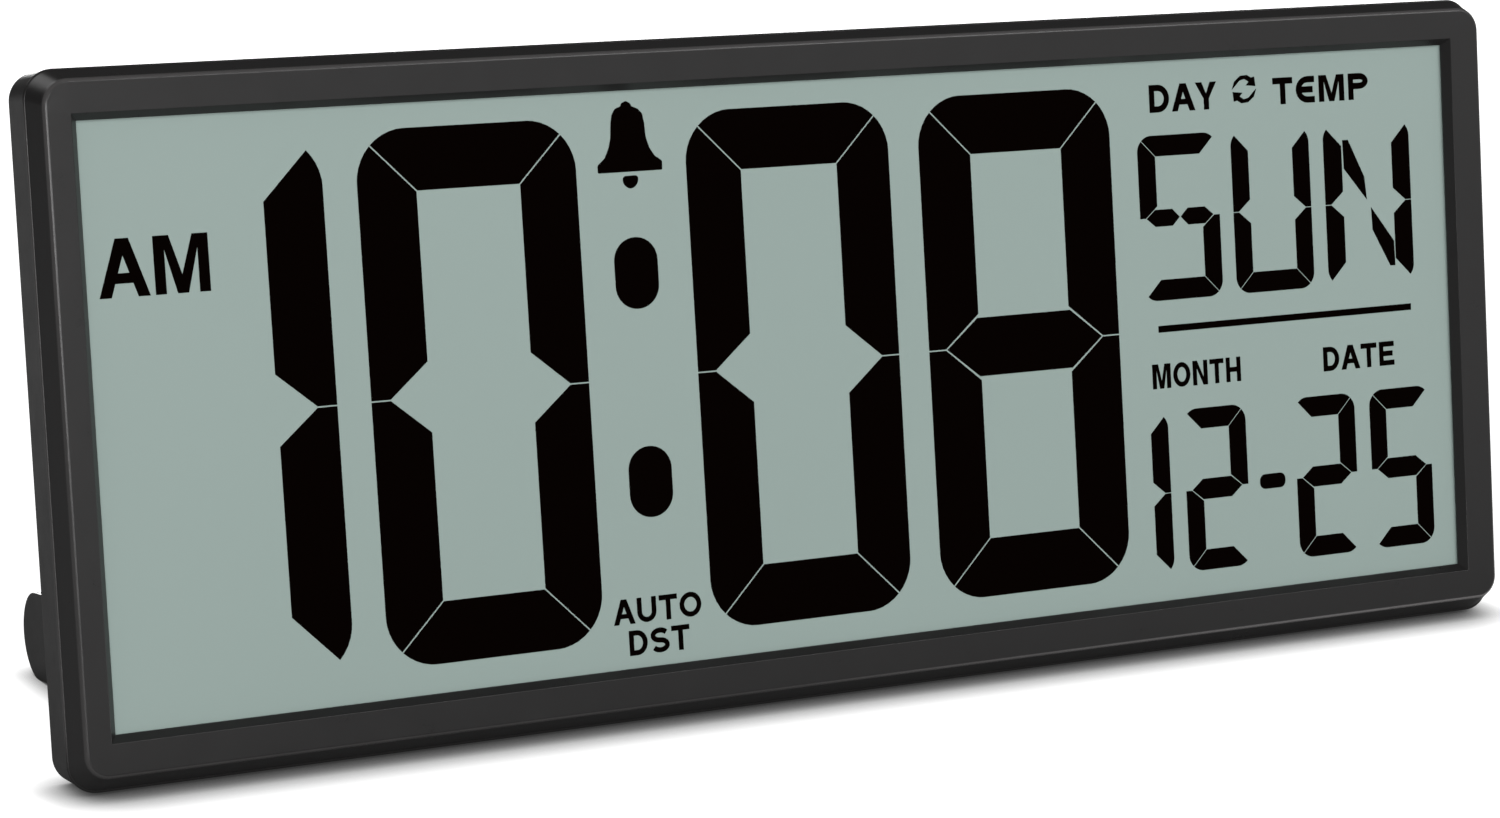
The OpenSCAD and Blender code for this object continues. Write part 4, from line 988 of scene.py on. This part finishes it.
class CLOCK_OT_display(ClockOperator):
    """Draws the display's lit segments and finishes its layers"""

    bl_idname = "clock.display"
    bl_label = "Display"

    def execute(self, context):
        bm = bmesh.new()
        draw_display(bm)
        raise_plate(bm, bm.faces[:], self.sizes.ink_height / MM)
        publish_drawn(bm, "display_segments", segment_ink("Lit segments"), CASING, smooth=20)
        tint(display_film("Display film", self.colours.film), "front_polariser")
        for node in ("front_glass", "rear_glass"):
            tint(glass_sheet(node + " glass", (0.86, 0.95, 0.92)), node)
        tint(rolled_metal("Reflector film", (0.6, 0.63, 0.61), 0.45, (1, 1, 1), 0.2), "rear_reflector")
        tint(foam_rubber("Gasket foam", (0.02, 0.02, 0.02), 0.25), "lcd_gasket")
        for side in ("left", "right"):
            tint(layered_rubber("Contact strip " + side), "zebra_strip_" + side)
        tint(grained_plastic("Holder plastic", (0.72, 0.72, 0.69), 0.5), "lcd_holder")
        return {"FINISHED"}


class CLOCK_OT_boards(ClockOperator):
    """Finishes the circuit boards and what is soldered to them"""

    bl_idname = "clock.boards"
    bl_label = "Circuit boards"

    def execute(self, context):
        tint(circuit_board("Circuit board", self.colours.board), "main_board", "button_board")
        tint(grained_plastic("Component resin", (0.02, 0.02, 0.021), 0.5, grain_mm=0.08),
             "driver_chip", "chip_resistors", "temperature_sensor",
             *("tact_switch_%d" % i for i in range(1, 6)))
        tint(rolled_metal("Plated steel", (0.66, 0.66, 0.68), 0.3), "holder_screws",
             "board_to_holder_screws", "button_board_screws", "clock_crystal", "slide_switch")
        tint(lacquered_plastic("Capacitor sleeve", (0.02, 0.03, 0.11), 0.25), "capacitor_1", "capacitor_2")
        tint(ribbon_strands("Flat cable"), "ribbon_cable")
        return {"FINISHED"}


class CLOCK_OT_power(ClockOperator):
    """Finishes the cells, their contacts and springs, and the wires"""

    bl_idname = "clock.power"
    bl_label = "Cells and wires"

    def execute(self, context):
        sleeve = cell_sleeve("Cell sleeve")
        for i in range(1, 5):
            dress("battery_%d" % i, sleeve)
        tint(rolled_metal("Contact steel", (0.7, 0.69, 0.66), 0.3, (1, 8, 1)), "battery_contacts")
        dress("battery_springs", rolled_metal("Spring steel", (0.68, 0.68, 0.67), 0.25, (1, 1, 1)), smooth=70)
        dress("power_wires", lacquered_plastic("Red wire", (0.42, 0.02, 0.02), 0.35), smooth=70)
        dress("buzzer_wires", lacquered_plastic("Black wire", (0.02, 0.02, 0.02), 0.35), smooth=70)
        return {"FINISHED"}


class CLOCK_OT_sounder(ClockOperator):
    """Finishes the sounder's discs"""

    bl_idname = "clock.sounder"
    bl_label = "Sounder"

    def execute(self, context):
        tint(rolled_metal("Disc brass", (0.72, 0.53, 0.24), 0.28, (1, 1, 6)), "buzzer_disc")
        tint(grained_plastic("Silvered ceramic", (0.62, 0.62, 0.6), 0.42), "buzzer_ceramic")
        return {"FINISHED"}


class CLOCK_OT_controls(ClockOperator):
    """Finishes the buttons, plungers and switch knob"""

    bl_idname = "clock.controls"
    bl_label = "Controls"

    def execute(self, context):
        material = grained_plastic("Button plastic", self.colours.button, 0.46, grain_mm=0.14)
        for name in BUTTONS:
            dress("button_" + name, material, edge_mm=0.3)
        dress("dst_switch_knob", material)
        tint(grained_plastic("Plunger plastic", (0.5, 0.48, 0.4), 0.5),
             *("plunger_%d" % i for i in range(1, 6)))
        return {"FINISHED"}


# Share of the floor's light in a mirror view
FLOOR_MIRRORED = 0.34
# Dark under the clock: its reach in metres, its depth to the lens and to a gloss, and its fall
SHADE_REACH, SHADE_DEPTH, SHADE_MIRRORED, SHADE_FALL = 0.0065, 0.97, 0.7, 1.6
# Level way from the clock to the palest part of the studio, ahead and to the right
AHEAD_X, AHEAD_Y = 0.66, -0.75
WORLD_AMBIENT, WORLD_BACK, WORLD_AHEAD = 0.28, 0.05, 0.8
LAMP_AIM = Vector((0, 0, 0.07))
# Name, place in metres, width and height of the soft light, and watts
LAMPS = (
    ("left_front", (-0.7, -2.2, 0.4), 1.8, 0.45, 26),
    ("right_high", (1.15, -1.8, 1.35), 1.4, 0.5, 19),
    ("rear_high", (-0.9, 1.6, 1.6), 1.2, 1.2, 9),
    ("rear_low", (0.95, 2.1, 0.3), 1.4, 0.5, 26),
)


class CLOCK_OT_stage(ClockOperator):
    """Sets the floor, lamps, world and camera"""

    bl_idname = "clock.stage"
    bl_label = "Studio"

    def execute(self, context):
        self.floor()
        self.lamps()
        self.world()
        self.camera()
        context.scene.view_settings.view_transform = "Standard"
        return {"FINISHED"}

    def floor(self):
        """A pale floor that the lens sees as white, darker where the clock closes it in."""
        bm = bmesh.new()
        bmesh.ops.create_grid(bm, x_segments=1, y_segments=1, size=5)
        mesh = mesh_from(bm, "studio_floor")
        floor = add_object("studio_floor", mesh)
        f = Finish("Studio floor")
        seen, mirrored, through = f.rays()
        across, back, _ = f.split(f.place)
        # the dark reaches further in front of the clock, less so past its ends
        front = f.ramp(back, -0.02, -0.02) * (1 - 0.6 * f.ramp(f.size_of(across), 0.165, 0.02))
        far = f.ramp(across * AHEAD_X + back * AHEAD_Y, 0.3, 0.4)
        open_sky = f.node("AmbientOcclusion", {"samples": 16},
                          {"Distance": SHADE_REACH + front * SHADE_REACH}, out="AO")
        closed = SHADE_DEPTH - SHADE_DEPTH * open_sky ** SHADE_FALL
        shade = 1 - (seen + mirrored * SHADE_MIRRORED + through) * closed
        paint = f.node("BsdfDiffuse", sockets={"Color": f.blend(shade, BLACK, self.colours.floor)})
        lift = f.node("Emission", sockets={
            "Color": f.blend((seen + through + mirrored * far * FLOOR_MIRRORED) * shade, BLACK, WHITE)})
        f.end_in(f.node("AddShader", sockets={0: paint, 1: lift}))
        mesh.materials.append(f.material)

    def lamps(self):
        """Four soft lights round the clock."""
        for name, place, width, height, power in LAMPS:
            light = bpy.data.lights.new(name, "AREA")
            light.shape = "RECTANGLE"
            light.size, light.size_y = width, height
            light.energy = power
            lamp = add_object(name, light)
            lamp.visible_camera = False
            lamp.location = place
            lamp.rotation_euler = (LAMP_AIM - lamp.location).to_track_quat("-Z", "Y").to_euler()

    def world(self):
        """White to the lens; grey card behind the clock and paler ahead of it to everything else."""
        world = bpy.data.worlds.new("Studio")
        bpy.context.scene.world = world
        w = Nodes(world, "ShaderNodeOutputWorld")
        seen, mirrored, through = w.rays()
        facing = w.node("VectorMath", {"operation": "DOT_PRODUCT"}, {
            0: w.node("TexCoord", out="Generated"), 1: (AHEAD_X, AHEAD_Y, 0.0)}, out="Value")
        paler = (facing > 0) * facing ** 3
        card = WORLD_BACK + (WORLD_AHEAD - WORLD_BACK) * paler
        white = seen + through
        w.end_in(w.node("Background", sockets={
            "Color": WHITE,
            "Strength": white + mirrored * card + (1 - white - mirrored) * WORLD_AMBIENT}))

    def camera(self):
        """The camera, placed in the casing's own axes."""
        sizes = self.sizes
        turn, rise, roll = sizes.view_turn, sizes.view_rise, sizes.view_roll
        axes = (Matrix.Rotation(-LEAN, 4, "X") @ Matrix.Rotation(-turn, 4, "Z")
                @ Matrix.Rotation(math.pi / 2 - rise, 4, "X") @ Matrix.Rotation(roll, 4, "Z"))
        camera = bpy.data.cameras.new("camera")
        camera.lens = sizes.camera_lens
        camera.sensor_width = 36
        camera.sensor_fit = "HORIZONTAL"
        camera.clip_start = 0.05
        rig = add_object("camera", camera)
        rig.matrix_world = Matrix.Translation(STAND @ (Vector(sizes.view_from) / MM)) @ axes
        bpy.context.scene.camera = rig


OPERATORS = (CLOCK_OT_bezel, CLOCK_OT_shell, CLOCK_OT_legs, CLOCK_OT_display, CLOCK_OT_boards,
             CLOCK_OT_power, CLOCK_OT_sounder, CLOCK_OT_controls, CLOCK_OT_stage)


class CLOCK_PT_panel(bpy.types.Panel):
    """Lists the clock's pieces"""

    bl_idname = "CLOCK_PT_panel"
    bl_label = "Day clock"
    bl_space_type = "VIEW_3D"
    bl_region_type = "UI"
    bl_category = "Day clock"

    def draw(self, context):
        for operator in OPERATORS:
            self.layout.operator(operator.bl_idname)
        for group in (context.scene.clock_sizes, context.scene.clock_colours):
            column = self.layout.column()
            for name in group.__annotations__:
                column.prop(group, name)


CLASSES = (ClockSizes, ClockColours, *OPERATORS, CLOCK_PT_panel)


def register():
    for item in CLASSES:
        bpy.utils.register_class(item)
    bpy.types.Scene.clock_sizes = bpy.props.PointerProperty(type=ClockSizes)
    bpy.types.Scene.clock_colours = bpy.props.PointerProperty(type=ClockColours)


def unregister():
    del bpy.types.Scene.clock_colours
    del bpy.types.Scene.clock_sizes
    for item in reversed(CLASSES):
        bpy.utils.unregister_class(item)


def main():
    register()
    for operator in OPERATORS:
        getattr(bpy.ops.clock, operator.bl_idname.split(".")[1])()


if __name__ == "__main__":
    main()
